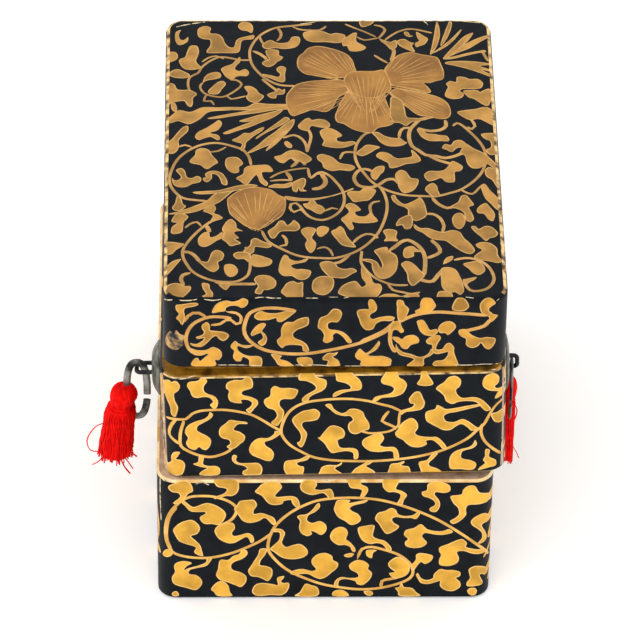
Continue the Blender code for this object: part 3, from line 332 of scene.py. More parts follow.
TOP_LEAVES = (
    (181, 30, 179, 34, 180, 39, 184, 40, 188, 37, 188, 41, 184, 44, 179, 45, 176, 42, 175, 37, 176, 32),
    (238, 26, 242, 22, 250, 23, 253, 27, 252, 33, 247, 31, 241, 30),
    (198, 29, 205, 26, 211, 28, 210, 33, 218, 34, 223, 38, 225, 43, 229, 47, 234, 47, 236, 41, 240, 38,
     248, 36, 254, 35, 253, 39, 244, 40, 241, 43, 240, 50, 236, 53, 222, 53, 208, 53, 207, 50, 210, 46,
     210, 40, 203, 39, 198, 36),
    (190, 46, 197, 46, 199, 51, 198, 56, 196, 61, 200, 66, 203, 67, 198, 69, 190, 70, 183, 68, 179, 62,
     180, 59, 185, 57, 187, 52),
    (167, 53, 175, 52, 178, 56, 176, 60, 168, 62),
    (170, 72, 177, 69, 183, 71, 190, 75, 186, 78, 178, 78, 170, 76),
    (167, 85, 174, 84, 177, 89, 183, 90, 190, 90, 197, 94, 193, 98, 193, 103, 191, 107, 187, 105, 184,
     101, 175, 102, 167, 104),
    (171, 104, 175, 103, 177, 108, 176, 112, 172, 110),
    (166, 121, 172, 115, 179, 110, 190, 112, 200, 108, 208, 107, 222, 108, 232, 110, 215, 111, 207, 113,
     200, 119, 190, 124, 184, 123, 178, 121, 171, 123),
    (208, 118, 222, 115, 240, 112, 255, 109, 270, 107, 285, 105, 292, 105, 290, 109, 275, 110, 258, 113,
     240, 115, 222, 118, 211, 119),
    (208, 108, 230, 107, 246, 107, 255, 103, 270, 104, 285, 104, 285, 106, 268, 108, 250, 110, 230, 110,
     212, 110),
    (244, 87, 250, 86, 256, 89, 259, 93, 264, 96, 261, 100, 256, 103, 249, 101, 246, 97, 248, 93),
    (266, 50, 278, 50, 279, 55, 283, 57, 281, 60, 277, 62, 274, 65, 268, 67, 262, 64, 264, 61, 269, 59,
     267, 56),
    (277, 68, 281, 66, 286, 68, 285, 74, 285, 81, 280, 82, 272, 79, 264, 76, 262, 74, 270, 75, 278, 77,
     280, 74, 277, 71),
    (270, 93, 276, 91, 278, 88, 282, 90, 285, 89, 284, 94, 277, 95, 276, 98, 271, 98, 267, 95),
    (221, 69, 226, 66, 232, 64, 236, 60, 240, 57, 240, 62, 236, 66, 235, 69, 239, 71, 245, 69, 249, 72,
     247, 76, 240, 76, 236, 77, 232, 80, 226, 77, 223, 73),
    (204, 78, 208, 74, 215, 72, 220, 73, 221, 77, 216, 79, 209, 80, 204, 82, 202, 85),
    (208, 91, 213, 86, 218, 82, 223, 81, 226, 84, 222, 89, 218, 94, 210, 94),
    (239, 121, 248, 118, 262, 114, 275, 111, 283, 109, 280, 113, 272, 118, 262, 122, 250, 127, 240, 130,
     228, 134, 223, 133, 232, 129, 245, 124, 252, 121, 245, 122),
    (232, 140, 238, 137, 244, 133, 250, 133, 258, 129, 264, 127, 262, 131, 254, 136, 249, 140, 246, 143,
     245, 148, 242, 151, 240, 149, 242, 144, 236, 142),
    (294, 119, 294, 124, 290, 130, 283, 137, 272, 144, 262, 148, 250, 153, 248, 152, 258, 145, 266, 138,
     276, 131, 286, 123),
    (290, 119, 285, 123, 276, 128, 266, 133, 256, 139, 258, 136, 268, 129, 278, 122, 285, 117),
    (288, 130, 283, 137, 275, 145, 266, 151, 268, 147, 276, 139, 283, 132),
    (195, 137, 198, 132, 206, 128, 214, 123, 219, 120, 222, 124, 218, 130, 210, 133, 218, 135, 220, 139,
     217, 140, 211, 137, 205, 138, 199, 140),
    (166, 144, 172, 139, 177, 133, 183, 127, 188, 126, 188, 131, 184, 135, 179, 140, 179, 147, 176, 152,
     171, 154, 167, 151),
    (284, 143, 287, 141, 292, 145, 291, 148, 287, 147),
    (300, 123, 305, 119, 309, 118, 312, 120, 318, 119, 325, 120, 330, 124, 328, 128, 318, 127, 311, 126,
     308, 131, 300, 129, 298, 126),
    (320, 131, 326, 128, 333, 129, 340, 133, 342, 136, 337, 138, 338, 141, 345, 142, 352, 141, 356, 143,
     350, 146, 340, 148, 328, 147, 322, 145, 324, 141, 321, 136),
    (274, 157, 281, 155, 288, 151, 296, 150, 304, 153, 312, 159, 306, 163, 298, 161, 292, 158, 288, 160,
     284, 163, 279, 162),
    (317, 156, 322, 154, 330, 156, 335, 159, 340, 163, 352, 165, 355, 168, 350, 171, 340, 170, 332, 171,
     324, 168, 322, 163, 318, 160),
    (196, 150, 202, 148, 209, 150, 212, 155, 218, 162, 214, 165, 208, 169, 204, 168, 200, 165, 191, 163,
     190, 160, 195, 155),
    (227, 158, 236, 157, 241, 160, 243, 164, 239, 167, 239, 172, 233, 173, 227, 169, 225, 163),
    (303, 33, 310, 31, 322, 31, 330, 34, 336, 33, 345, 35, 344, 41, 338, 43, 325, 42, 312, 42, 305, 39),
    (262, 45, 270, 40, 278, 43, 288, 42, 292, 37, 299, 37, 300, 42, 296, 47, 285, 49, 275, 48, 266, 49),
    (342, 40, 348, 36, 353, 33, 357, 33, 356, 38, 357, 42, 363, 45, 366, 48, 360, 51, 350, 51, 347, 46,
     343, 46),
    (359, 22, 364, 20, 374, 21, 370, 25, 362, 27),
    (383, 40, 390, 42, 396, 40, 397, 46, 394, 49, 390, 49),
    (397, 41, 404, 39, 410, 42, 414, 43, 412, 46, 415, 52, 408, 50, 400, 46),
    (404, 32, 408, 32, 410, 35, 413, 36, 409, 37, 405, 35),
    (416, 32, 419, 33, 424, 36, 428, 39, 425, 44, 420, 46, 416, 47, 415, 43, 419, 41, 417, 37),
    (430, 55, 432, 45, 434, 35, 436, 23, 438, 23, 440, 33, 439, 40, 436, 48),
    (441, 42, 444, 34, 447, 26, 450, 20, 452, 24, 450, 32, 446, 40, 441, 46),
    (431, 54, 438, 49, 446, 43, 453, 37, 460, 30, 461, 31, 455, 39, 447, 46, 438, 51),
    (443, 58, 450, 50, 457, 43, 463, 37, 471, 33, 473, 34, 467, 42, 460, 48, 452, 55, 446, 59),
    (450, 56, 458, 49, 467, 43, 478, 38, 488, 35, 489, 37, 480, 42, 470, 48, 460, 52),
    (443, 59, 455, 56, 467, 53, 478, 51, 484, 50, 486, 52, 478, 53, 465, 56, 452, 59),
    (446, 62, 455, 61, 468, 61, 480, 62, 492, 64, 491, 65, 480, 66, 492, 70, 493, 72, 482, 70, 492, 75,
     491, 77, 480, 73, 468, 69, 456, 66, 446, 64),
    (446, 84, 450, 81, 456, 82, 457, 77, 464, 77, 470, 79, 478, 79, 483, 83, 481, 88, 473, 89, 463, 89,
     460, 91, 464, 94, 461, 98, 452, 99, 445, 96, 446, 91, 448, 87),
    (463, 91, 470, 90, 477, 90, 480, 92, 484, 90, 490, 89, 495, 98, 491, 101, 488, 106, 482, 104, 474, 99,
     468, 97),
    (457, 112, 466, 110, 475, 109, 484, 107, 491, 109, 494, 116, 497, 125, 492, 125, 484, 121, 478, 119,
     470, 120, 463, 117),
    (481, 134, 492, 133, 497, 135, 498, 145, 498, 153, 490, 155, 486, 150, 491, 147, 490, 141, 485, 139),
    (442, 148, 445, 144, 451, 145, 454, 141, 461, 140, 467, 144, 475, 149, 484, 153, 490, 158, 497, 165,
     499, 172, 493, 168, 487, 164, 480, 168, 472, 168, 467, 163, 465, 156, 460, 152, 462, 148, 457, 148,
     452, 152, 447, 150),
    (417, 129, 423, 129, 426, 133, 434, 134, 440, 135, 447, 136, 449, 141, 440, 141, 430, 141, 423, 138,
     419, 134),
    (372, 133, 378, 132, 385, 136, 394, 138, 400, 138, 404, 141, 407, 143, 400, 146, 388, 146, 380, 142,
     376, 137),
    (357, 152, 362, 148, 366, 145, 372, 145, 380, 147, 375, 150, 370, 153, 363, 156, 358, 155),
    (376, 156, 380, 152, 388, 153, 396, 158, 404, 158, 412, 156, 411, 150, 416, 153, 421, 160, 415, 163,
     406, 164, 398, 167, 390, 168, 388, 163, 382, 160),
    (176, 170, 181, 168, 185, 171, 187, 177, 192, 178, 197, 176, 201, 178, 200, 182, 192, 184, 186, 187,
     178, 187, 173, 184, 172, 178, 174, 180, 178, 180, 181, 177, 178, 173),
    (205, 174, 210, 171, 217, 171, 223, 174, 227, 180, 227, 185, 222, 184, 220, 179, 217, 175, 212, 174,
     212, 178, 208, 182, 204, 181, 203, 178, 206, 177),
    (236, 178, 243, 174, 244, 169, 248, 166, 258, 165, 268, 165, 273, 170, 271, 172, 263, 172, 262, 174,
     264, 179, 268, 183, 266, 186, 260, 182, 258, 177, 256, 175, 252, 179, 248, 184, 244, 184, 240, 181),
    (268, 187, 275, 184, 284, 184, 292, 182, 290, 187, 280, 188),
    (292, 183, 297, 180, 303, 178, 306, 180, 305, 186, 303, 189, 307, 191, 300, 191, 299, 187, 297, 192,
     293, 191, 292, 188),
    (168, 214, 180, 211, 194, 206, 206, 201, 213, 195, 220, 191, 232, 187, 246, 186, 240, 189, 232, 192,
     225, 198, 218, 203, 208, 207, 195, 212, 180, 214),
    (193, 192, 205, 191, 220, 190, 235, 186, 250, 184, 258, 186, 245, 189, 228, 192, 210, 194, 197, 194),
    (285, 196, 300, 198, 315, 198, 333, 195, 345, 191, 353, 188, 352, 190, 340, 194, 330, 197, 315, 200,
     300, 201, 288, 200),
    (203, 211, 208, 206, 214, 205, 216, 209, 214, 213, 219, 215, 223, 218, 218, 220, 211, 220, 213, 216,
     208, 213),
    (177, 196, 181, 198, 183, 204, 186, 206, 182, 210, 176, 211, 172, 208, 175, 203),
    (172, 219, 176, 214, 182, 213, 188, 216, 187, 219, 184, 222, 183, 228, 182, 232, 176, 234, 171, 233,
     172, 227, 177, 223, 172, 222),
    (166, 243, 172, 242, 180, 243, 184, 244, 181, 247, 176, 250, 172, 254, 166, 254),
    (181, 259, 178, 263, 172, 270, 165, 277, 163, 275, 166, 267, 173, 261),
    (203, 233, 209, 232, 210, 237, 216, 236, 222, 232, 224, 237, 216, 241, 210, 245, 204, 247, 199, 245,
     198, 239),
    (222, 229, 226, 222, 231, 219, 236, 223, 237, 228, 243, 231, 238, 231, 234, 233, 239, 238, 235, 239,
     241, 243, 236, 245, 230, 246, 226, 242, 222, 239, 224, 234),
    (197, 260, 206, 262, 209, 259, 212, 252, 218, 250, 224, 254, 222, 260, 218, 262, 219, 268, 214, 272,
     208, 270, 202, 265),
    (233, 255, 237, 252, 245, 252, 250, 254, 251, 261, 248, 262, 244, 259, 237, 259),
    (243, 251, 250, 245, 251, 240, 256, 238, 262, 241, 268, 243, 272, 246, 267, 248, 259, 247, 255, 247,
     254, 252, 250, 254, 247, 253),
    (252, 255, 258, 255, 265, 257, 272, 260, 270, 265, 260, 267, 252, 265),
    (224, 266, 228, 264, 234, 265, 238, 270, 236, 275, 230, 277, 225, 273),
    (254, 280, 257, 276, 263, 275, 270, 276, 276, 281, 275, 287, 268, 290, 264, 290, 261, 294, 255, 293,
     256, 289, 258, 286),
    (202, 283, 209, 284, 210, 289, 213, 293, 212, 298, 206, 298, 202, 296, 206, 294, 203, 289),
    (219, 284, 231, 283, 229, 287, 226, 290, 222, 288),
    (165, 290, 168, 285, 175, 283, 181, 284, 185, 286, 190, 286, 191, 289, 187, 294, 180, 299, 172, 300,
     166, 296),
    (268, 231, 275, 226, 279, 221, 284, 221, 287, 225, 291, 223, 294, 220, 299, 224, 300, 228, 296, 231,
     288, 231, 280, 232, 275, 238, 271, 238, 269, 235),
    (301, 230, 308, 227, 316, 229, 314, 234, 312, 238, 316, 243, 315, 249, 311, 253, 307, 250, 305, 244,
     307, 240, 303, 235),
    (317, 228, 323, 226, 329, 228, 327, 233, 321, 237, 317, 234),
    (284, 255, 288, 256, 290, 259, 298, 261, 308, 258, 305, 262, 295, 264, 291, 266, 296, 269, 303, 269,
     311, 271, 309, 277, 303, 280, 297, 279, 292, 276, 284, 276, 279, 272, 279, 266, 281, 260),
    (313, 281, 318, 277, 325, 276, 333, 278, 334, 285, 331, 291, 325, 295, 317, 294, 312, 289),
    (283, 288, 287, 283, 293, 281, 298, 283, 303, 282, 303, 290, 303, 297, 300, 299, 289, 298, 284, 295,
     281, 292),
    (320, 263, 327, 261, 335, 263, 338, 267, 345, 269, 352, 268, 357, 271, 352, 274, 345, 278, 338, 278,
     330, 277, 325, 273, 321, 268),
    (303, 204, 308, 203, 311, 199, 315, 201, 317, 204, 322, 206, 325, 210, 321, 214, 316, 213, 311, 210,
     306, 208),
    (371, 172, 376, 167, 384, 166, 384, 171, 380, 175, 376, 180, 373, 179, 371, 176),
    (396, 173, 400, 170, 405, 171, 408, 174, 411, 178, 418, 179, 418, 184, 414, 190, 407, 193, 402, 192,
     398, 186, 398, 181, 395, 177),
    (424, 175, 429, 171, 437, 171, 444, 170, 449, 165, 452, 161, 458, 163, 463, 167, 460, 171, 455, 172,
     455, 178, 454, 182, 446, 182, 441, 178, 435, 180, 428, 181),
    (425, 189, 428, 185, 433, 183, 437, 186, 438, 190, 440, 196, 433, 197, 428, 193),
    (485, 170, 490, 167, 497, 172, 500, 180, 500, 190, 496, 186, 492, 180, 486, 176),
    (481, 186, 485, 184, 490, 190, 497, 197, 501, 203, 500, 210, 496, 209, 490, 203, 485, 198, 482, 191),
    (477, 209, 481, 205, 486, 203, 490, 207, 495, 214, 493, 221, 488, 219, 484, 214, 478, 213),
    (450, 207, 458, 202, 461, 196, 466, 195, 470, 199, 474, 205, 469, 207, 472, 213, 474, 219, 470, 222,
     465, 219, 464, 213, 458, 209),
    (452, 219, 455, 214, 461, 213, 465, 217, 465, 224, 460, 229, 454, 226),
    (471, 227, 475, 226, 479, 229, 485, 226, 492, 227, 498, 233, 495, 237, 490, 238, 486, 241, 480, 236,
     475, 232),
    (476, 244, 482, 242, 490, 243, 497, 248, 498, 255, 502, 261, 498, 263, 488, 261, 480, 260, 474, 257,
     478, 253, 482, 250, 477, 247),
    (414, 224, 420, 228, 428, 228, 437, 231, 444, 232, 452, 230, 460, 232, 464, 238, 470, 243, 475, 250,
     471, 254, 463, 252, 453, 246, 446, 241, 438, 240, 430, 238, 423, 233, 415, 229),
    (391, 196, 395, 195, 397, 199, 404, 204, 411, 202, 417, 199, 420, 197, 424, 202, 426, 208, 427, 214,
     424, 218, 416, 221, 411, 218, 408, 214, 408, 210, 404, 207, 398, 205, 393, 201),
    (396, 224, 399, 219, 405, 216, 411, 215, 413, 221, 411, 228, 405, 229, 402, 225, 397, 226),
    (383, 231, 389, 229, 397, 231, 396, 237, 398, 241, 390, 241, 384, 241, 386, 237),
    (403, 253, 405, 248, 412, 246, 417, 249, 422, 252, 414, 252, 414, 256, 408, 258, 404, 257),
    (374, 251, 380, 248, 387, 247, 389, 251, 396, 255, 398, 262, 396, 271, 390, 277, 382, 279, 375, 275,
     372, 268, 371, 263, 364, 261, 361, 259, 370, 259, 377, 262, 381, 268, 382, 264, 378, 256),
    (401, 264, 407, 261, 414, 264, 420, 270, 425, 275, 421, 280, 413, 286, 408, 281, 407, 274, 404, 269),
    (441, 269, 447, 267, 455, 269, 460, 276, 463, 284, 464, 291, 460, 295, 455, 292, 448, 293, 442, 287,
     441, 278),
    (437, 295, 440, 291, 450, 292, 453, 296, 451, 300, 438, 300),
    (443, 264, 446, 258, 453, 256, 452, 260, 447, 263),
    (463, 264, 470, 262, 478, 261, 484, 266, 485, 271, 479, 275, 473, 273, 469, 269),
    (464, 280, 470, 278, 477, 277, 474, 280, 470, 282, 466, 285),
    (338, 293, 341, 287, 347, 283, 355, 281, 359, 284, 362, 287, 366, 284, 362, 278, 361, 271, 362, 266,
     367, 271, 371, 277, 374, 283, 380, 284, 382, 289, 378, 296, 372, 299, 360, 299, 350, 298, 344, 296),
    (379, 298, 385, 294, 395, 294, 402, 296, 410, 293, 418, 294, 419, 298, 410, 299, 395, 299),
    (331, 232, 336, 229, 340, 226, 344, 229, 347, 236, 353, 243, 356, 247, 350, 247, 342, 245, 337, 240),
    (345, 206, 350, 203, 356, 205, 361, 210, 355, 212, 358, 216, 366, 216, 371, 212, 374, 216, 378, 221,
     370, 223, 358, 223, 352, 222, 354, 228, 350, 230, 345, 224, 341, 219, 346, 215, 349, 211),
    (347, 193, 352, 191, 360, 191, 364, 187, 370, 188, 376, 190, 374, 195, 369, 200, 362, 201, 354, 202,
     350, 198),
)
TOP_VINES = (
    (2.8, 312, 24, 290, 26, 275, 28, 262, 34, 254, 42, 250, 50, 250, 58, 253, 66, 260, 74, 268, 80, 280,
     85, 296, 86),
    (3.0, 277, 27, 281, 33, 280, 38, 277, 41),
    (2.6, 259, 36, 262, 42, 266, 46),
    (2.5, 293, 27, 298, 29, 305, 30, 320, 30, 326, 26),
    (3.6, 253, 51, 260, 54, 267, 59),
    (2.6, 250, 60, 240, 60, 230, 58, 220, 57, 210, 61, 202, 67, 198, 73, 190, 77, 188, 84, 190, 91, 195,
     95),
    (2.2, 202, 62, 208, 58, 216, 56, 224, 59),
    (2.4, 202, 83, 200, 87, 204, 93, 212, 96, 222, 97, 230, 94, 240, 87, 241, 83, 236, 80, 231, 80),
    (2.2, 246, 96, 231, 99, 227, 96),
    (2.4, 206, 95, 204, 101, 211, 101, 214, 105),
    (3.0, 262, 79, 272, 87, 279, 92),
    (2.6, 178, 147, 185, 145, 191, 147),
    (3.0, 251, 165, 249, 157, 243, 150, 232, 146, 218, 143, 205, 144, 193, 148, 182, 155, 175, 163, 170,
     175, 170, 184, 175, 192, 183, 198, 195, 200, 207, 201),
    (2.4, 209, 152, 218, 151, 226, 147),
    (3.0, 283, 138, 294, 135, 302, 139, 306, 145, 307, 152),
    (3.0, 308, 129, 311, 136, 309, 145, 307, 152),
    (4.0, 292, 158, 297, 162, 291, 167),
    (4.5, 302, 158, 305, 165),
    (2.2, 357, 37, 364, 40, 372, 39, 378, 38),
    (2.2, 345, 24, 352, 27, 365, 32, 376, 37),
    (2.8, 379, 38, 385, 30, 380, 26, 374, 25),
    (3.4, 380, 39, 388, 45, 393, 48),
    (2.4, 385, 40, 392, 35, 400, 31, 412, 29, 432, 33),
    (4.0, 391, 44, 394, 52, 391, 61),
    (2.6, 374, 55, 382, 60, 388, 63),
    (3.0, 482, 51, 488, 61),
    (3.2, 472, 120, 475, 126, 472, 129, 468, 127),
    (3.0, 453, 126, 457, 123, 463, 126, 470, 132, 478, 140, 484, 149, 486, 158, 483, 170, 475, 180, 462,
     189, 450, 193, 437, 196, 420, 196, 405, 195, 392, 192, 380, 187, 371, 181, 364, 173, 358, 165, 355,
     156, 356, 146, 360, 139, 365, 134, 371, 132),
    (4.0, 430, 118, 421, 119, 415, 124, 410, 130, 409, 138, 412, 146, 418, 150, 426, 155, 436, 156, 445,
     158, 455, 156, 462, 153),
    (4.0, 445, 120, 446, 126, 440, 130, 430, 131, 424, 130, 418, 128),
    (3.4, 412, 128, 404, 128, 400, 132, 399, 138),
    (3.0, 340, 159, 343, 153, 350, 152, 358, 153),
    (2.4, 270, 178, 277, 174, 286, 171, 297, 169, 307, 168),
    (3.0, 308, 168, 309, 174, 311, 178, 316, 174, 322, 172, 330, 176, 336, 182, 341, 188, 344, 195, 344,
     203, 340, 211, 332, 217, 322, 220, 312, 218, 305, 213, 300, 206, 296, 203, 291, 204, 290, 208, 294,
     212, 299, 210),
    (4.0, 286, 172, 290, 177, 291, 181),
    (2.6, 270, 181, 280, 180, 290, 180),
    (4.8, 321, 174, 325, 179, 325, 184, 320, 188, 312, 189),
    (2.6, 325, 211, 332, 208, 338, 209),
    (3.0, 221, 218, 212, 221, 203, 227, 194, 235, 187, 243, 183, 250, 183, 257, 186, 263, 192, 271, 202,
     277, 215, 281, 228, 282, 238, 281, 247, 276, 250, 268, 250, 257, 248, 251, 245, 247),
    (2.6, 185, 228, 190, 224, 197, 222, 201, 226),
    (4.6, 206, 225, 210, 232),
    (4.0, 181, 252, 188, 252, 194, 255, 200, 262),
    (4.0, 215, 282, 228, 284, 240, 284, 256, 284),
    (4.0, 184, 285, 181, 280, 183, 275, 190, 273),
    (3.2, 282, 235, 286, 239, 286, 245, 280, 246),
    (3.0, 262, 231, 266, 239, 272, 244, 282, 249, 293, 254, 305, 257, 320, 258, 335, 258, 350, 254, 362,
     248, 372, 240, 380, 230, 386, 215, 387, 203, 384, 193, 380, 187),
    (2.5, 317, 249, 324, 247, 330, 250, 333, 256),
    (3.8, 372, 171, 365, 169, 358, 171, 354, 178, 358, 185, 365, 187, 373, 187, 380, 184, 386, 180, 393,
     179, 398, 182),
    (3.8, 428, 155, 438, 160, 448, 163, 455, 165),
    (2.6, 461, 190, 472, 194, 479, 188, 484, 184),
    (3.8, 432, 197, 437, 203, 447, 208, 455, 206),
    (3.4, 426, 214, 433, 214, 440, 218, 444, 226, 442, 232),
    (4.2, 390, 250, 396, 246, 401, 242, 408, 240, 416, 244, 422, 250, 425, 258, 425, 268, 424, 275),
    (4.0, 431, 240, 438, 246, 440, 252, 433, 256, 427, 258),
    (4.4, 415, 277, 425, 281, 433, 281, 438, 275, 443, 270),
    (3.2, 454, 260, 465, 258, 475, 259, 484, 263, 491, 270, 494, 280, 488, 288, 478, 291, 470, 290, 465,
     284, 464, 279),
    (2.8, 362, 251, 361, 262, 366, 270, 374, 277, 384, 282, 395, 285, 408, 285),
    (2.8, 388, 284, 393, 290, 402, 292, 412, 294, 420, 292),
    (3.6, 330, 264, 340, 262, 347, 257, 350, 254),
    (3.0, 353, 243, 358, 238, 366, 234, 374, 235, 378, 238),
    (3.0, 371, 213, 370, 206, 374, 202, 380, 201),
)
# The five-petalled flower and the round shell of the lid, with where their pale veins start.
PETALS = (
    ((360, 84), (297, 61, 299, 56, 303, 53, 308, 48, 318, 46, 330, 48, 340, 51, 348, 55, 353, 61, 355, 68,
     357, 74, 350, 77, 340, 78, 330, 78, 318, 76, 305, 74, 298, 68)),
    ((362, 90), (286, 97, 290, 90, 297, 84, 310, 81, 325, 80, 345, 80, 352, 86, 346, 93, 338, 98, 334,
     106, 326, 112, 312, 110, 300, 114, 292, 116, 287, 108)),
    ((366, 80), (345, 95, 352, 88, 370, 88, 384, 93, 385, 97, 388, 105, 391, 113, 390, 119, 394, 123, 388,
     126, 378, 128, 372, 133, 362, 132, 352, 129, 344, 124, 337, 122, 335, 116, 338, 108, 341, 101)),
    ((380, 82), (384, 70, 390, 62, 398, 55, 410, 52, 420, 54, 432, 56, 438, 58, 441, 64, 444, 72, 443, 79,
     436, 81, 430, 83, 424, 83, 428, 87, 431, 92, 425, 93, 415, 90, 404, 88, 394, 86, 386, 80)),
    ((382, 86), (390, 92, 398, 88, 410, 90, 424, 93, 436, 96, 444, 100, 449, 105, 451, 113, 448, 118, 440,
     119, 430, 117, 418, 115, 408, 108, 402, 102, 394, 98)),
    ((368, 120), (350, 72, 362, 71, 374, 71, 384, 70, 390, 80, 391, 90, 384, 94, 375, 98, 362, 97, 350,
     92, 345, 85, 344, 78)),
    ((257, 232), (227, 200, 229, 197, 236, 192, 246, 188, 257, 187, 265, 188, 272, 190, 279, 195, 285,
     198, 286, 205, 284, 213, 278, 219, 270, 222, 264, 226, 259, 230, 254, 229, 245, 226, 237, 220, 230,
     214, 228, 208)),
)
FLOWER_STAMENS = (391, 97, 397, 98, 403, 102, 405, 110, 407, 117, 414, 118, 427, 119, 420, 121, 412, 122,
 406, 126, 400, 123, 393, 122, 390, 115, 390, 106)
# Cream chips and rubbed edges: width, then line.
LID_WEAR = (
    (1.2, 164, 299, 172, 300),
    (1.0, 180, 301, 190, 301, 197, 300),
    (1.0, 204, 300, 213, 301, 221, 300),
    (1.1, 255, 299, 263, 298, 272, 299, 281, 299),
    (1.0, 306, 299, 318, 299),
    (1.0, 328, 298, 338, 298),
    (1.0, 344, 299, 349, 298),
    (1.2, 379, 298, 390, 295),
    (1.0, 404, 298, 418, 297),
    (0.9, 466, 298, 474, 299),
    (1.2, 497, 301, 500, 299),
    (0.8, 218, 365, 240, 365, 262, 366),
    (0.8, 295, 365, 318, 365, 330, 366),
    (0.8, 345, 366, 362, 366),
    (0.9, 455, 365, 470, 365, 488, 364, 500, 363),
)
# Along the top's back edge these pale lines are wear and a painted highlight of the rounded edge.
TOP_WEAR_AND_HIGHLIGHT = (
    (3.0, 168, 31, 167, 40, 167, 54),
    (1.5, 176, 27, 190, 24, 205, 22),
    (1.1, 222, 21, 236, 20),
    (1.1, 410, 19, 422, 20, 428, 25),
    (1.0, 460, 21, 472, 22, 484, 23),
    (0.9, 300, 24, 316, 22),
)
UPPER_WEAR = (
    (1.7, 163, 386, 162, 400, 163, 420, 163, 450, 164, 474),
    (1.0, 171, 377, 182, 379, 196, 376, 205, 373),
    (1.0, 205, 373, 230, 371, 252, 373, 278, 372),
    (1.1, 280, 371, 320, 371, 350, 371),
    (1.7, 360, 370, 381, 370),
    (0.9, 392, 371, 420, 371, 445, 370),
    (1.1, 456, 370, 470, 369, 486, 369, 497, 370),
    (1.1, 506, 377, 504, 395, 503, 420, 502, 445, 501, 468),
)
LOWER_WEAR = (
    (2.2, 163, 480, 168, 481, 173, 480),
    (1.5, 196, 484, 201, 482, 209, 485),
    (1.2, 318, 479, 330, 481, 341, 479),
    (1.0, 448, 481, 452, 480),
    (1.8, 463, 480, 471, 479),
    (1.5, 160, 478, 160, 498, 161, 520),
)
RUBBED = (
    (166, 336, 170, 331, 174, 334, 176, 330, 180, 334, 185, 336, 186, 342, 182, 346, 176, 350, 170, 348,
     165, 342),
)

# Finishes of the wood: two colours, the noise's scale and where it turns from one to the other.
FINISHES = {
    "lacquer": dict(dark=(0.003, 0.0045, 0.0065), light=(0.006, 0.0085, 0.011), scale=300, roughness=0.45,
                    specular=0.08),
    "gold_rim": dict(dark=(0.74, 0.42, 0.10), light=(0.92, 0.58, 0.19), scale=500, roughness=0.5),
    "gold_fill": dict(dark=(0.54, 0.27, 0.018), light=(0.90, 0.47, 0.045), scale=160, roughness=0.45),
    "vine_gold": dict(dark=(0.60, 0.30, 0.05), light=(0.88, 0.50, 0.12), scale=220, roughness=0.5),
    # Rubbed edges; round the lid's sides and back the line is also a painted highlight of the rounded edge.
    "worn_edge_and_highlight": dict(dark=(0.10, 0.05, 0.02), light=(0.88, 0.60, 0.25), scale=420, roughness=0.6,
                      low=0.38, high=0.56),
    "chip": dict(dark=(0.05, 0.035, 0.02), light=(0.82, 0.66, 0.42), scale=900, roughness=0.8,
                 low=0.36, high=0.50),
    "rubbed_gold": dict(dark=(0.01, 0.014, 0.018), light=(0.55, 0.32, 0.11), scale=420, roughness=0.6,
                        low=0.40, high=0.60),
    # Gold of the risers and ledges in the gaps between the parts, darkened as painted shade of those gaps.
    "ledge_gold_painted_shade": dict(dark=(0.10, 0.04, 0.002), light=(0.52, 0.25, 0.015), scale=300, roughness=0.5),
    # The top's golds, the flower's too, are darker than the front's: painted shade of the top seen at a
    # slant.
    "top_rim_painted_shade": dict(dark=(0.48, 0.26, 0.07), light=(0.68, 0.39, 0.12), scale=500, roughness=0.5),
    "top_fill_painted_shade": dict(dark=(0.28, 0.14, 0.022), light=(0.60, 0.30, 0.06), scale=140, roughness=0.5),
    "top_vine_painted_shade": dict(dark=(0.38, 0.20, 0.05), light=(0.62, 0.34, 0.10), scale=220, roughness=0.5),
    "flower_gold": dict(dark=(0.24, 0.10, 0.016), light=(0.46, 0.21, 0.036), scale=120, roughness=0.5),
    "flower_vein": dict(dark=(0.44, 0.22, 0.05), light=(0.66, 0.36, 0.10), scale=400, roughness=0.5),
    "inside_lacquer": dict(dark=(0.02, 0.008, 0.004), light=(0.06, 0.028, 0.008), scale=300,
                           roughness=0.45),
    # Gold line at the joints, painted lighter than its gold: painted light against the shade of the gap.
    "gold_edge_painted_light": dict(dark=(0.70, 0.36, 0.09), light=(0.98, 0.78, 0.42), scale=260, roughness=0.55,
                        low=0.3, high=0.6),
    # Pale pinkish wood: wear, and painted reflection of the bright surroundings on glossy surfaces seen
    # edge-on.
    "worn_wood_and_reflection": dict(dark=(0.42, 0.26, 0.16), light=(0.62, 0.45, 0.33), scale=500, roughness=0.8),
}
KINDS = tuple(FINISHES)
KIND = {name: index for index, name in enumerate(KINDS)}

# The lid's front is a shade browner than the tiers'.
LID_FINISHES = {
    "gold_rim": dict(dark=(0.54, 0.29, 0.07), light=(0.74, 0.43, 0.14), scale=500, roughness=0.5),
    "gold_fill": dict(dark=(0.34, 0.16, 0.012), light=(0.78, 0.37, 0.035), scale=160, roughness=0.45),
    "vine_gold": dict(dark=(0.48, 0.23, 0.04), light=(0.72, 0.38, 0.10), scale=220, roughness=0.5),
}
METAL_FINISHES = {
    "boss": dict(dark=(0.05, 0.05, 0.04), light=(0.22, 0.22, 0.18), scale=600, roughness=0.5,
                 metallic=0.35, bump=0.4),
    # The eye is near black: dark metal, darkened further as painted shade.
    "eye": dict(dark=(0.004, 0.004, 0.004), light=(0.03, 0.03, 0.03), scale=500, roughness=0.4,
                metallic=0.3, bump=0.3),
    "washer": dict(dark=(0.35, 0.30, 0.20), light=(0.80, 0.70, 0.55), scale=700, roughness=0.55,
                   metallic=0.1, bump=0.3),
    "ring": dict(dark=(0.02, 0.022, 0.022), light=(0.34, 0.34, 0.31), scale=260, roughness=0.35,
                 metallic=0.6, bump=0.3, low=0.38, high=0.66),
}
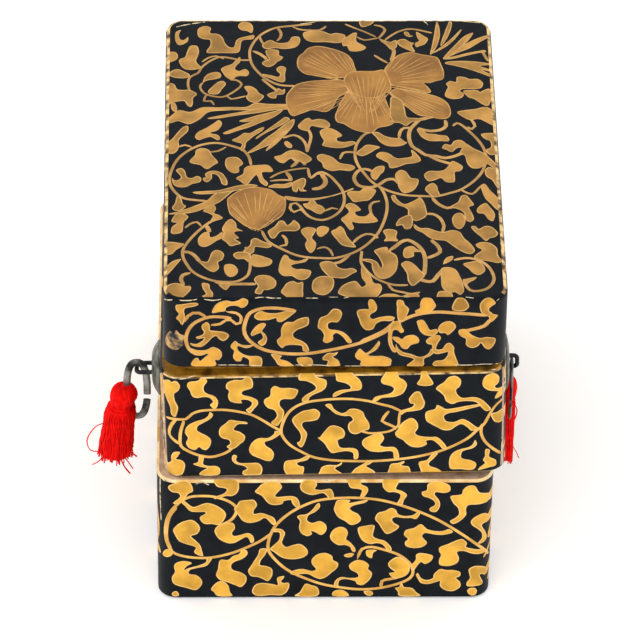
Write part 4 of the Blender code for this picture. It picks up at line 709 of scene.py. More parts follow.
SILK_FINISH = dict(dark=(0.72, 0.001, 0.0005), light=(1.0, 0.004, 0.001), scale=900, roughness=0.7,
                   specular=0.1)
FLOOR_FINISH = dict(dark=(0.93, 0.93, 0.93), light=(0.95, 0.95, 0.95), scale=3, roughness=0.9,
                    specular=0.1)
NOISE_DETAIL = 4.0
BUMP_DISTANCE = 0.05 * MM

# Floor and light, in metres and watts.
FLOOR_REACH = 6.0
FLOOR_GLOW = 0.22
WORLD_STRENGTH = 1.05
KEY_PLACE = (-0.6, -0.9, 1.2)
KEY_SIZE = 1.2
KEY_POWER = 4

# Size of one pixel of the photograph on the box, in mm. Widths of strokes are in pixels.
PIXEL_MM = 0.212

# Leaves: the pale rim in mm, and how much of it the inner cut and the paint keep.
RIM_WIDTH = 0.26
RIM_CUT = 0.85
RIM_PAINT = 0.8
SMOOTH_STEPS = 3

# Vines: step in mm, and the shares of the half width left at the ends and painted.
VINE_STEP = 0.9
VINE_END = 0.55
VINE_REACH = 0.98

# Pixels past the front corner are held at this share of its radius.
LAST_BEND = 0.98

# Worn lines, in mm, with the front corner's strip this many corner radii past the flat. That strip is pale
# wear and painted reflection.
EDGE_LINE = 0.35
FRONT_CORNER = 1.05
CORNER_STRIP = 0.35
# The lid's rubbed top edge is wear and a painted highlight of its rounding.
LID_RUB_AND_HIGHLIGHT_SHARE = 1 / 3
EASE_TILT = 45.0

# Veins of the flower: how many, their width in pixels, and where they run from root to edge.
PETAL_STEPS = 4
PETAL_VEINS = 22
VEIN_WIDTH = 0.9
VEIN_SPACING = 3.0
VEIN_SHARES = (0.35, 0.6, 0.9)

# Repeats of the front's drawing round the hidden sides, with one shape in five left out.
REPEAT_TURNS = (-2, -1, 1, 2)
REPEAT_BEND = 0.9
LEFT_OUT_EVERY = 5
LEFT_OUT = 3

# Limits of the panel cutter.
CUT_TOLERANCE = 1e-4
SLIVER = 1e-7
NEARLY_ZERO = 1e-12

# Tassels: the middle of the head, the length, radii of head, knot and skirt, and the threads, in mm.
LEFT_TASSEL = dict(head=(-42.4, -27.6, 40.8), length=19.7, head_radius=3.0, knot_radius=3.5,
                   skirt_radius=4.0, lean=-2.4, strands=84, strand_radius=0.2, seed=7)
RIGHT_TASSEL = dict(head=(39.60, -25.81, 40.92), length=24.5, head_radius=1.4, knot_radius=1.4,
                    skirt_radius=1.45, lean=-0.4, strands=40, strand_radius=0.16, seed=8)

# Profile of a tassel: share of the length, then how much of the head's and the knot's radius.
PROFILE = ((0.0, 0.25, 0.0), (0.025, 0.66, 0.0), (0.07, 0.92, 0.0), (0.13, 1.0, 0.0), (0.19, 0.93, 0.0),
           (0.24, 0.78, 0.0), (0.28, 0.62, 0.1), (0.30, 0.0, 0.80), (0.35, 0.0, 0.92), (0.40, 0.0, 1.0),
           (0.45, 0.0, 0.99), (0.50, 0.0, 0.96), (0.65, 0.0, 0.98), (0.80, 0.0, 1.0), (1.0, 0.0, 1.02))
HEAD_TOP = 0.13
LEAN_CURVE = 0.7
FLARE_START = 0.5
FLARE_SHARE = 0.8
CORE_STEPS = 18
CORE_SIDES = 20
CORE_START = 0.01
CORE_LENGTH = 0.93
CORE_SHARE = 0.86
STRAND_SIDES = 4
STRAND_STEPS = 22
STRAND_START = 0.005
STRAND_SHARE = 0.92
STRAND_SHIFT = 0.04
STRAND_SPREAD = (0.8, 1.15)
STRAND_TAPER = 0.7
SHORTEST_STRAND = 0.9
TWIST = 0.35
TWIST_SPREAD = 0.25
WAVE_DEPTH = 0.05
WAVE_TURNS = 19
WAVE_GROWTH = 2
BINDINGS = ((0.265, 5), (0.29, 4))
BINDING_STEPS = 14
BINDING_DROP = 0.02
BINDING_LIFT = 0.6
LOOSE_STEP = 0.6
# A direction that no thread follows.
TUBE_REFERENCE = Vector((0.3, 0.9, 0.31))

# Loose threads, each a given line in mm and its radius.
LEFT_LOOSE = (
    (((-45.6, -28.8, 33.9), (-48.4, -29.2, 33.2), (-50.4, -29.3, 29.6), (-49.8, -29.2, 26.4),
      (-47.4, -29.0, 25.8)), 0.14),
    (((-46.2, -29.4, 26.4), (-47.8, -29.8, 24.0), (-49.4, -29.6, 22.6)), 0.15),
    (((-43.6, -29.6, 25.2), (-42.6, -30.0, 22.4), (-41.4, -30.0, 20.4)), 0.22),
    (((-43.0, -29.4, 25.4), (-41.6, -29.8, 23.2), (-40.8, -29.8, 21.6)), 0.18),
    (((-42.2, -29.2, 27.4), (-40.8, -29.6, 25.8), (-39.9, -29.6, 24.9)), 0.2),
)
RIGHT_LOOSE = (
    (((40.2, -26.6, 25.6), (41.2, -27.0, 24.0), (42.0, -27.0, 21.9)), 0.12),
    (((40.3, -26.8, 37.8), (41.1, -27.2, 35.6), (40.7, -27.0, 33.0)), 0.14),
)


def camera_axes():
    """Right, up and forward directions of the photograph's camera."""
    azimuth, elevation = CAMERA_AZIMUTH, CAMERA_ELEVATION
    forward = Vector((
        math.sin(azimuth) * math.cos(elevation),
        math.cos(azimuth) * math.cos(elevation),
        -math.sin(elevation)))
    right = Vector((math.cos(azimuth), -math.sin(azimuth), 0.0))
    up = right.cross(forward)
    rolled_right = math.cos(CAMERA_ROLL) * right + math.sin(CAMERA_ROLL) * up
    rolled_up = math.cos(CAMERA_ROLL) * up - math.sin(CAMERA_ROLL) * right
    return rolled_right, rolled_up, forward


RIGHT, UP, FORWARD = camera_axes()
EYE = CAMERA_TARGET - FORWARD * CAMERA_DISTANCE


def make_camera():
    data = bpy.data.cameras.new("photo_camera")
    data.lens = CAMERA_LENS
    data.sensor_width = SENSOR
    data.clip_start, data.clip_end = CAMERA_CLIP
    camera = bpy.data.objects.new("photo_camera", data)
    turn = Matrix((RIGHT, UP, -FORWARD)).transposed().to_4x4()
    camera.matrix_world = Matrix.Translation(EYE) @ turn
    bpy.context.scene.collection.objects.link(camera)
    bpy.context.scene.camera = camera


def pixel_ray(x, y, pose):
    """Start and direction, in a piece's own frame in mm, of the ray through a pixel."""
    half = PHOTO_SIZE / 2
    direction = FORWARD + RIGHT * ((x - half) / PHOTO_FOCUS) + UP * ((half - y) / PHOTO_FOCUS)
    back = pose.inverted()
    return back @ (EYE / MM), back.to_3x3() @ direction


def on_front(x, y, width, pose):
    """Pixel to the unrolled wall: distance round from the front's middle, and height."""
    start, direction = pixel_ray(x, y, pose)
    reach = (-DEPTH / 2 - start.y) / direction.y
    hit = start + direction * reach
    flat = width / 2 - CORNER
    beyond = min(max(0.0, abs(hit.x) - flat), CORNER * LAST_BEND)
    if beyond == 0.0:
        return hit.x, hit.z
    angle = math.asin(beyond / CORNER)
    deeper = CORNER * (1 - math.cos(angle))
    drop = deeper * -direction.z / direction.y
    return math.copysign(flat + CORNER * angle, hit.x), hit.z - drop


def on_top(x, y, height, pose):
    """Pixel to a place on a flat top at this height."""
    start, direction = pixel_ray(x, y, pose)
    hit = start + direction * ((height - start.z) / direction.z)
    return hit.x, hit.y


def pairs(numbers):
    """Row of x, y, x, y... as points."""
    return list(zip(numbers[0::2], numbers[1::2]))


def curve_point(before, start, end, after, t):
    """Point on a Catmull-Rom curve between start and end."""
    first = 2 * start
    second = end - before
    third = 2 * before - 5 * start + 4 * end - after
    fourth = 3 * start - before - 3 * end + after
    return 0.5 * (first + second * t + third * t * t + fourth * t ** 3)


def smooth_closed(points, steps):
    """Closed outline through the points, with this many steps from each to the next."""
    points = [numpy.array(point, dtype=float) for point in points]
    count = len(points)
    result = []
    for i in range(count):
        corners = [points[(i + k) % count] for k in (-1, 0, 1, 2)]
        for step in range(steps):
            result.append(curve_point(*corners, step / steps))
    return numpy.array(result)


def smooth_open(points, spacing):
    """Open line through the points, with steps of about this length."""
    points = [numpy.array(point, dtype=float) for point in points]
    last = len(points) - 1
    result = []
    for i in range(last):
        corners = [points[min(max(i + k, 0), last)] for k in (-1, 0, 1, 2)]
        steps = max(1, round(numpy.linalg.norm(points[i + 1] - points[i]) / spacing))
        for step in range(steps):
            result.append(curve_point(*corners, step / steps))
    result.append(points[last])
    return numpy.array(result)


def line_distance(spots, line, closed):
    """Distance of each spot from a line."""
    ends = numpy.roll(line, -1, axis=0) if closed else line[1:]
    starts = line if closed else line[:-1]
    along = ends - starts
    square = numpy.maximum((along ** 2).sum(axis=1), NEARLY_ZERO)
    offset = spots[:, None, :] - starts[None, :, :]
    share = numpy.clip((offset * along[None]).sum(axis=2) / square[None], 0, 1)
    gap = offset - share[..., None] * along[None]
    return numpy.sqrt((gap ** 2).sum(axis=2)).min(axis=1)


def inside(spots, outline):
    """Which spots lie inside a closed outline, by counting the edges to their right."""
    x, y = spots[:, 0:1], spots[:, 1:2]
    x0, y0 = outline[:, 0][None], outline[:, 1][None]
    x1, y1 = numpy.roll(outline[:, 0], -1)[None], numpy.roll(outline[:, 1], -1)[None]
    crosses = (y0 > y) != (y1 > y)
    height = numpy.where(y1 == y0, NEARLY_ZERO, y1 - y0)
    left = x < (x1 - x0) * (y - y0) / height + x0
    return (crosses & left).sum(axis=1) % 2 == 1


def within_box(spots, outline):
    """Numbers of the spots inside an outline's bounding box."""
    low, high = outline.min(axis=0), outline.max(axis=0)
    return numpy.nonzero(((spots >= low) & (spots <= high)).all(axis=1))[0]


def sideways(steps):
    """Unit directions to the left of each step."""
    length = numpy.maximum(numpy.linalg.norm(steps, axis=1), NEARLY_ZERO)
    return numpy.stack([-steps[:, 1], steps[:, 0]], axis=1) / length[:, None]


class Shape:
    """Gold or worn shape on a panel, in mm."""

    def moved(self, shift, mirror):
        twin = copy.copy(self)
        twin.line = self.line * numpy.array([mirror, 1.0]) + numpy.array([shift, 0.0])
        return twin


class Blob(Shape):
    """Closed shape with a rim of its own finish."""

    def __init__(self, points, rim, fill, steps=SMOOTH_STEPS):
        self.line = smooth_closed(points, steps)
        self.rim = rim
        self.fill = fill

    def loops(self):
        if self.rim == self.fill:
            return [self.line]
        ahead = numpy.roll(self.line, -1, axis=0) - numpy.roll(self.line, 1, axis=0)
        turn = (self.line[:, 0] * numpy.roll(self.line[:, 1], -1)
                - numpy.roll(self.line[:, 0], -1) * self.line[:, 1]).sum()
        inner = self.line + sideways(ahead) * math.copysign(1, turn) * RIM_WIDTH
        deep = line_distance(inner, self.line, True) > RIM_WIDTH * RIM_CUT
        return [self.line, inner[deep & inside(inner, self.line)]]

    def paint(self, spots, kinds):
        near = within_box(spots, self.line)
        near = near[inside(spots[near], self.line)]
        if len(near) == 0:
            return
        kinds[near] = self.rim
        if self.rim != self.fill:
            deep = line_distance(spots[near], self.line, True) > RIM_WIDTH * RIM_PAINT
            kinds[near[deep]] = self.fill


class Vine(Shape):
    """Open stroke that narrows at its ends."""

    def __init__(self, width, points, kind, spacing=VINE_STEP):
        self.line = smooth_open(points, spacing)
        self.kind = kind
        self.half = width / 2

    def loops(self):
        thick = numpy.full(len(self.line), self.half)
        thick[0] *= VINE_END
        thick[-1] *= VINE_END
        side = sideways(numpy.gradient(self.line, axis=0)) * thick[:, None]
        return [numpy.concatenate([self.line + side, (self.line - side)[::-1]])]

    def paint(self, spots, kinds):
        outline = self.loops()[0]
        near = within_box(spots, outline)
        if len(near) == 0:
            return
        close = line_distance(spots[near], self.line, False) < self.half * VINE_REACH
        kinds[near[inside(spots[near], outline) | close]] = self.kind


def cut_panel(border, guides, shapes, keep):
    """Triangles of one flat or unrolled panel, with the kind of finish of each."""
    points = []
    edges = []

    def add_loop(line, closed):
        first = len(points)
        points.extend(Vector((float(x), float(y))) for x, y in line)
        count = len(line)
        for i in range(count if closed else count - 1):
            edges.append((first + i, first + (i + 1) % count))

    add_loop(border, True)
    for guide in guides:
        add_loop(guide, False)
    for shape in shapes:
        for loop in shape.loops():
            if len(loop) > 2:
                add_loop(loop, True)
    cut_points, _, cut_faces = delaunay_2d_cdt(points, edges, [], 0, CUT_TOLERANCE, False)[:3]
    places = numpy.array([[point.x, point.y] for point in cut_points])
    triangles = numpy.array([face for face in cut_faces if len(face) == 3])
    spots = places[triangles].mean(axis=1)
    wanted = keep(spots)
    triangles, spots = triangles[wanted], spots[wanted]
    kinds = numpy.zeros(len(triangles), dtype=int)
    for shape in shapes:
        shape.paint(spots, kinds)
    a, b, c = places[triangles[:, 0]], places[triangles[:, 1]], places[triangles[:, 2]]
    doubled = (b - a)[:, 0] * (c - a)[:, 1] - (b - a)[:, 1] * (c - a)[:, 0]
    triangles[doubled < 0] = triangles[doubled < 0][:, ::-1]
    solid = numpy.abs(doubled) > SLIVER
    return places, triangles[solid], kinds[solid]


def rounded_ring(half_x, half_y, radius, z):
    """Corners of a rounded rectangle, anticlockwise from the +X side."""
    ring = []
    for corner, (sign_x, sign_y) in enumerate(((1, 1), (-1, 1), (-1, -1), (1, -1))):
        for step in range(ARC_STEPS + 1):
            angle = math.pi / 2 * (corner + step / ARC_STEPS)
            x = sign_x * (half_x - radius) + radius * math.cos(angle)
            y = sign_y * (half_y - radius) + radius * math.sin(angle)
            ring.append(Vector((x, y, z)))
    return ring


def outer_row(width, inset, z):
    """Row of the outer wall, set in by this much: half_x, half_y, corner radius and z."""
    return (width / 2 - inset, DEPTH / 2 - inset, CORNER - inset, z)


def link_piece(name, mesh):
    piece = bpy.data.objects.new(name, mesh)
    bpy.context.scene.collection.objects.link(piece)
    return piece


class Shell:
    """Mesh under construction, with its own normals and finishes."""

    def __init__(self):
        self.places = []
        self.normals = []
        self.faces = []
        self.kinds = []

    def add_panel(self, places, normals, faces, kinds):
        first = len(self.places)
        used = sorted({int(i) for face in faces for i in face})
        order = {old: first + new for new, old in enumerate(used)}
        self.places.extend(places[i] for i in used)
        self.normals.extend(normals[i] for i in used)
        for face, kind in zip(faces, kinds):
            self.faces.append(tuple(order[int(i)] for i in face))
            self.kinds.append(int(kind))

    def add_band(self, lower, upper, kind):
        """Ring of walls between two rows of half_x, half_y, radius and z."""
        rings = [rounded_ring(*lower), rounded_ring(*upper)]
        count = len(rings[0])
        first = len(self.places)
        for ring in rings:
            for i in range(count):
                along = rings[0][(i + 1) % count] - rings[0][i - 1]
                slope = rings[1][i] - rings[0][i]
                self.places.append(ring[i])
                self.normals.append(along.cross(slope).normalized())
        for i in range(count):
            j = (i + 1) % count
            self.faces.append((first + i, first + j, first + count + j, first + count + i))
            self.kinds.append(KIND[kind])

    def add_cap(self, row, upward, kind):
        ring = rounded_ring(*row)
        first = len(self.places)
        self.places.extend(ring)
        self.normals.extend([Vector((0, 0, 1 if upward else -1))] * len(ring))
        face = tuple(range(first, first + len(ring)))
        self.faces.append(face if upward else tuple(reversed(face)))
        self.kinds.append(KIND[kind])

    def build(self, name, pose, materials):
        mesh = bpy.data.meshes.new(name)
        mesh.from_pydata([(pose @ place) * MM for place in self.places], [], self.faces)
        for material in materials:
            mesh.materials.append(material)
        mesh.polygons.foreach_set("material_index", self.kinds)
        mesh.polygons.foreach_set("use_smooth", [True] * len(self.faces))
        turn = pose.to_3x3()
        mesh.update()
        normals = [(turn @ normal).normalized() for normal in self.normals]
        mesh.normals_split_custom_set_from_vertices(normals)
        return link_piece(name, mesh)


class Wall:
    """Outer wall unrolled: distance round from the front's middle, and height up its rows.

    A row is how far it is set in, its height and the upward tilt of the wall there in degrees.
    """

    def __init__(self, width, rows):
        self.width = width
        self.flat_x = width / 2 - CORNER
        self.flat_y = DEPTH / 2 - CORNER
        self.arc = math.pi / 2 * CORNER
        self.half_length = 2 * self.flat_x + 2 * self.arc + 2 * self.flat_y
        self.front_end = self.flat_x + CORNER
        self.rows = rows
        base = next(i for i, row in enumerate(rows) if row[0] == 0.0)
        heights = [0.0]
        for (inset, z, _), (next_inset, next_z, _) in zip(rows, rows[1:]):
            heights.append(heights[-1] + math.hypot(next_inset - inset, next_z - z))
        shift = rows[base][1] - heights[base]
        self.heights = [height + shift for height in heights]

    def columns(self):
        """Where the corners' facets start and end, on both sides of the middle."""
        marks = [self.flat_x + self.arc * k / ARC_STEPS for k in range(ARC_STEPS + 1)]
        marks += [mark + self.arc + 2 * self.flat_y for mark in marks]
        return [-mark for mark in marks] + marks

    def place(self, u, v):
        """Place in mm and normal of a point of the unrolled wall."""
        v = min(max(v, self.heights[0]), self.heights[-1])
        k = 0
        while k < len(self.heights) - 2 and v > self.heights[k + 1]:
            k += 1
        share = (v - self.heights[k]) / (self.heights[k + 1] - self.heights[k])
        inset, z, tilt = (a + (b - a) * share for a, b in zip(self.rows[k], self.rows[k + 1]))
        radius = CORNER - inset
        side_start = self.flat_x + self.arc
        side_end = side_start + 2 * self.flat_y
        s = abs(u)
        if s <= self.flat_x:
            x, y, nx, ny = s, -DEPTH / 2 + inset, 0.0, -1.0
        elif s <= side_start:
            angle = (s - self.flat_x) / CORNER
            nx, ny = math.sin(angle), -math.cos(angle)
            x, y = self.flat_x + radius * nx, -self.flat_y + radius * ny
        elif s <= side_end:
            x, y, nx, ny = self.width / 2 - inset, -self.flat_y + s - side_start, 1.0, 0.0
        elif s <= side_end + self.arc:
            angle = (s - side_end) / CORNER
            nx, ny = math.cos(angle), math.sin(angle)
            x, y = self.flat_x + radius * nx, self.flat_y + radius * ny
        else:
            x, y, nx, ny = self.half_length - s, DEPTH / 2 - inset, 0.0, 1.0
        side = math.copysign(1, u)
        level = math.cos(math.radians(tilt))
        normal = Vector((side * nx * level, ny * level, math.sin(math.radians(tilt))))
        return Vector((side * x, y, z)), normal

    def add_to(self, shell, shapes):
        low, high = self.heights[0], self.heights[-1]
        end = self.half_length
        border = [(-end, low), (end, low), (end, high), (-end, high)]
        guides = [[(u, low), (u, high)] for u in self.columns()]
        guides += [[(-end, v), (end, v)] for v in self.heights[1:-1]]

        def keep(spots):
            return (numpy.abs(spots[:, 0]) < end) & (spots[:, 1] > low) & (spots[:, 1] < high)

        spots, faces, kinds = cut_panel(border, guides, shapes, keep)
        placed = [self.place(u, v) for u, v in spots]
        shell.add_panel([place for place, _ in placed], [normal for _, normal in placed], faces, kinds)


def vine(stroke, flatten, kind):
    """Stroke of the drawing, brought onto its panel."""
    return Vine(stroke[0] * PIXEL_MM, flatten(pairs(stroke[1:])), KIND[kind])


def leaf(outline, flatten, rim, fill):
    """Closed outline of the drawing, brought onto its panel."""
    return Blob(flatten(pairs(outline)), KIND[rim], KIND[fill])


def front_shapes(width, pose, leaves, vines, wear, rubbed=()):
    """Gold of the front wall, then plainer repeats of it round the hidden sides."""
    def flatten(points):
        return [on_front(x, y, width, pose) for x, y in points]

    shapes = [vine(stroke, flatten, "vine_gold") for stroke in vines]
    shapes += [leaf(outline, flatten, "gold_rim", "gold_fill") for outline in leaves]
    pitch = 2 * (width / 2 - CORNER + CORNER * REPEAT_BEND)
    repeats = []
    for turn in REPEAT_TURNS:
        mirror = -1.0 if turn % 2 else 1.0
        for number, shape in enumerate(shapes):
            if number % LEFT_OUT_EVERY != LEFT_OUT:
                repeats.append(shape.moved(turn * pitch, mirror))
    worn = [vine(stroke, flatten, "chip") for stroke in wear]
    faded = [leaf(patch, flatten, "rubbed_gold", "rubbed_gold") for patch in rubbed]
    return faded + repeats + shapes + worn


def edge_line(wall, low, high, kind, start=None, end=None):
    """Rubbed line between two heights, all the way round unless a start and an end are given."""
    end = wall.half_length if end is None else end
    start = -end if start is None else start
    return Blob([(start, low), (end, low), (end, high), (start, high)], KIND[kind], KIND[kind], 1)


def corner_wear_and_reflection(wall, low, high):
    """Pale strips up the two front corners: rubbed wear and painted reflection of the bright surroundings.
    """
    middle = FRONT_CORNER * CORNER + wall.flat_x
    return [
        edge_line(wall, low, high, "worn_wood_and_reflection", side * middle - CORNER_STRIP, side * middle + CORNER_STRIP)
        for side in (-1, 1)]


def tier_rows(height):
    """Rows of a tier's outer wall, with its lower and upper edges eased."""
    ease = EASED_EDGE
    return [(ease, 0.0, -EASE_TILT), (0.0, ease, 0.0), (0.0, height - ease, 0.0), (ease, height, EASE_TILT)]


def add_skirt(shell, width, ceiling):
    """Inside of the open underside, up to its ceiling."""
    wall = SKIRT_WALL
    ease = EASED_EDGE
    rows = [outer_row(width, wall, ceiling), outer_row(width, wall, ease),
            outer_row(width, wall - ease, 0.0), outer_row(width, ease, 0.0)]
    shell.add_cap(rows[0], False, "inside_lacquer")
    for lower, upper in zip(rows, rows[1:]):
        shell.add_band(lower, upper, "inside_lacquer")


def add_riser(shell, width, height, half, top, floor_top, shoulder):
    """Shoulder, raised inner lip and inside of a tier."""
    half_x, half_y = half
    edge = RISER_EDGE
    inner_x, inner_y = half_x - RISER_WALL, half_y - RISER_WALL
    inner_corner = RISER_CORNER / 2
    rows = [
        outer_row(width, EASED_EDGE, height),
        (half_x, half_y, RISER_CORNER, height),
        (half_x, half_y, RISER_CORNER, top - edge),
        (half_x - edge, half_y - edge, RISER_CORNER - edge, top),
        (inner_x + edge, inner_y + edge, inner_corner + edge, top),
        (inner_x, inner_y, inner_corner, top - edge),
        (inner_x, inner_y, inner_corner, floor_top),
    ]
    # The lip's gold is darkened as painted shade of the gap it stands in.
    kinds = [shoulder, "ledge_gold_painted_shade", "ledge_gold_painted_shade", "ledge_gold_painted_shade", "inside_lacquer", "inside_lacquer"]
    for lower, upper, kind in zip(rows, rows[1:], kinds):
        shell.add_band(lower, upper, kind)
    shell.add_cap(rows[-1], True, "inside_lacquer")


def lower_tier(materials):
    shell = Shell()
    ease = EASED_EDGE
    wall = Wall(LOWER_WIDTH, tier_rows(LOWER_HEIGHT))
    # Gold line round the top edge, painted light against the shade of the joint.
    painted_light_edge = edge_line(wall, LOWER_HEIGHT - ease, LOWER_HEIGHT + ease, "gold_edge_painted_light")
    drawing = front_shapes(LOWER_WIDTH, LOWER_POSE, LOWER_LEAVES, LOWER_VINES, LOWER_WEAR)
    wall.add_to(shell, [painted_light_edge] + drawing)
    shell.add_cap(outer_row(LOWER_WIDTH, ease, 0.0), False, "lacquer")
    # The lower shoulder's pale colour is wear and painted reflection.
    add_riser(shell, LOWER_WIDTH, LOWER_HEIGHT, LOWER_RISER, LOWER_RISER_TOP, TIER_FLOOR, "worn_wood_and_reflection")
    return shell.build("lower_tier_lacquer", LOWER_POSE, materials)


def upper_tier(materials):
    shell = Shell()
    ease = EASED_EDGE
    wall = Wall(UPPER_WIDTH, tier_rows(UPPER_HEIGHT))
    arris = UPPER_HEIGHT - ease
    end = wall.front_end
    edges = [
        # Gold line round the bottom edge, painted light against the shade of the joint.
        edge_line(wall, -ease, ease, "gold_edge_painted_light"),
        # Above the worn line the top edge takes the dark ledge gold: painted shade under the lid.
        edge_line(wall, arris + EDGE_LINE, UPPER_HEIGHT + ease, "ledge_gold_painted_shade", -end, end),
        edge_line(wall, arris, arris + EDGE_LINE, "worn_edge_and_highlight", -end, end),
    ]
    drawing = front_shapes(UPPER_WIDTH, UPPER_POSE, UPPER_LEAVES, UPPER_VINES, UPPER_WEAR)
    wall.add_to(shell, edges + drawing + corner_wear_and_reflection(wall, ease, UPPER_HEIGHT - ease))
    add_skirt(shell, UPPER_WIDTH, SKIRT_RECESS)
    floor_top = SKIRT_RECESS + TIER_FLOOR
    # The shoulder takes the dark ledge gold: painted shade of the gap under the lid.
    add_riser(shell, UPPER_WIDTH, UPPER_HEIGHT, UPPER_RISER, UPPER_RISER_TOP, floor_top, "ledge_gold_painted_shade")
    return shell.build("upper_tier_lacquer", UPPER_POSE, materials)


def petal_veins(root, outline):
    """Fan of fine pale lines from a petal's root to its edge."""
    spread = smooth_closed(outline, PETAL_STEPS)
    root = numpy.array(root)
    pick = numpy.linspace(0, len(spread) - 1, PETAL_VEINS).astype(int)
    return [[root + (spread[index] - root) * share for share in VEIN_SHARES] for index in pick]


def top_shapes():
    """Gold and wear of the lid's flat top, its golds painted darker as painted shade of the top."""
    def flatten(points):
        return [on_top(x, y, LID_HEIGHT, LID_POSE) for x, y in points]

    shapes = [vine(stroke, flatten, "top_vine_painted_shade") for stroke in TOP_VINES]
    shapes += [leaf(outline, flatten, "top_rim_painted_shade", "top_fill_painted_shade") for outline in TOP_LEAVES]
    for root, outline in PETALS:
        shapes.append(leaf(outline, flatten, "flower_vein", "flower_gold"))
        for line in petal_veins(root, pairs(outline)):
            shapes.append(Vine(VEIN_WIDTH * PIXEL_MM, flatten(line), KIND["flower_vein"], VEIN_SPACING))
    shapes.append(leaf(FLOWER_STAMENS, flatten, "top_rim_painted_shade", "top_fill_painted_shade"))
    return shapes + [vine(stroke, flatten, "chip") for stroke in TOP_WEAR_AND_HIGHLIGHT]


def lid(materials):
    shell = Shell()
    ease = EASED_EDGE
    edge = LID_EDGE
    middle = edge * (1 - math.cos(math.pi / 4))
    wall = Wall(LID_WIDTH, [
        (ease, 0.0, -EASE_TILT), (0.0, ease, 0.0), (0.0, LID_HEIGHT - edge, 0.0),
        (middle, LID_HEIGHT - middle, EASE_TILT), (edge, LID_HEIGHT, 2 * EASE_TILT)])
    shapes = front_shapes(LID_WIDTH, LID_POSE, LID_LEAVES, LID_VINES, LID_WEAR, RUBBED)
    # Line round the lid's sides and back top edge: wear and a painted highlight of the rounded edge.
    low, high = LID_HEIGHT - edge * LID_RUB_AND_HIGHLIGHT_SHARE, LID_HEIGHT + edge
    for start, end in ((-wall.half_length, -wall.front_end), (wall.front_end, wall.half_length)):
        shapes.append(edge_line(wall, low, high, "worn_edge_and_highlight", start, end))
    wall.add_to(shell, shapes)
    add_skirt(shell, LID_WIDTH, LID_CEILING)
    ring = rounded_ring(*outer_row(LID_WIDTH, edge, LID_HEIGHT))
    border = numpy.array([[corner.x, corner.y] for corner in ring])
    spots, faces, kinds = cut_panel(border, [], top_shapes(), lambda found: inside(found, border))
    places = [Vector((x, y, LID_HEIGHT)) for x, y in spots]
    shell.add_panel(places, [Vector((0, 0, 1))] * len(spots), faces, kinds)
    return shell.build("lid_lacquer", LID_POSE, materials)


def finish(name, dark, light, scale, roughness, low=0.35, high=0.65, metallic=0.0, specular=0.3,
           bump=0.0):
    """Material mottled by noise between two colours, with an optional fine unevenness."""
    material = bpy.data.materials.new(name)
    material.use_nodes = True
    nodes = material.node_tree.nodes
    links = material.node_tree.links
    shader = nodes["Principled BSDF"]
    shader.inputs["Roughness"].default_value = roughness
    shader.inputs["Metallic"].default_value = metallic
    shader.inputs["Specular IOR Level"].default_value = specular
    place = nodes.new("ShaderNodeTexCoord")
    noise = nodes.new("ShaderNodeTexNoise")
    noise.inputs["Scale"].default_value = scale
    noise.inputs["Detail"].default_value = NOISE_DETAIL
    ramp = nodes.new("ShaderNodeValToRGB")
    for element, position, color in zip(ramp.color_ramp.elements, (low, high), (dark, light)):
        element.position = position
        element.color = (*color, 1)
    links.new(place.outputs["Object"], noise.inputs["Vector"])
    links.new(noise.outputs["Fac"], ramp.inputs["Fac"])
    links.new(ramp.outputs["Color"], shader.inputs["Base Color"])
    if bump:
        unevenness = nodes.new("ShaderNodeBump")
        unevenness.inputs["Strength"].default_value = bump
        unevenness.inputs["Distance"].default_value = BUMP_DISTANCE
        links.new(noise.outputs["Fac"], unevenness.inputs["Height"])
        links.new(unevenness.outputs["Normal"], shader.inputs["Normal"])
    return material


def make_floor():
    mesh = bpy.data.meshes.new("floor")
    reach = FLOOR_REACH
    corners = [(-reach, -reach, 0), (reach, -reach, 0), (reach, reach, 0), (-reach, reach, 0)]
    mesh.from_pydata(corners, [], [(0, 1, 2, 3)])
    material = finish("floor", **FLOOR_FINISH)
    shader = material.node_tree.nodes["Principled BSDF"]
    shader.inputs["Emission Color"].default_value = (1, 1, 1, 1)
    shader.inputs["Emission Strength"].default_value = FLOOR_GLOW
    mesh.materials.append(material)
    floor = link_piece("floor", mesh)


def make_lights():
    """Even white surroundings and one soft lamp above the front left."""
    world = bpy.data.worlds.new("studio")
    world.use_nodes = True
    surroundings = world.node_tree.nodes["Background"]
    surroundings.inputs["Color"].default_value = (1, 1, 1, 1)
    surroundings.inputs["Strength"].default_value = WORLD_STRENGTH
    bpy.context.scene.world = world
    data = bpy.data.lights.new("key", "AREA")
    data.shape = "DISK"
    data.size = KEY_SIZE
    data.energy = KEY_POWER
    lamp = link_piece("key", data)
    lamp.location = KEY_PLACE
    lamp.rotation_euler = (-Vector(KEY_PLACE)).to_track_quat("-Z", "Y").to_euler()


def tassel_radius(size, along):
    """Radius at a share of the length, from the profile of head and skirt."""
    for (low, head_a, knot_a), (high, head_b, knot_b) in zip(PROFILE, PROFILE[1:]):
        if along <= high:
            share = (along - low) / (high - low)
            start = head_a * size["head_radius"] + knot_a * size["knot_radius"]
            end = head_b * size["head_radius"] + knot_b * size["knot_radius"]
            blend = max(0.0, along - FLARE_START) / (1 - FLARE_START)
            flare = (size["skirt_radius"] - size["knot_radius"]) * blend * FLARE_SHARE
            return start + (end - start) * share + flare
    return size["skirt_radius"]


def tassel_spine(size, along):
    """Middle of the tassel at a share of its length, leaning more and more to one side."""
    top = Vector(size["head"]) + Vector((0, 0, HEAD_TOP * size["length"]))
    drift = size["lean"] * max(0.0, along - HEAD_TOP) ** LEAN_CURVE
    return top + Vector((drift, 0, -along * size["length"]))


def around_spine(size, along, angle, radius):
    return tassel_spine(size, along) + Vector((math.cos(angle), math.sin(angle), 0)) * radius


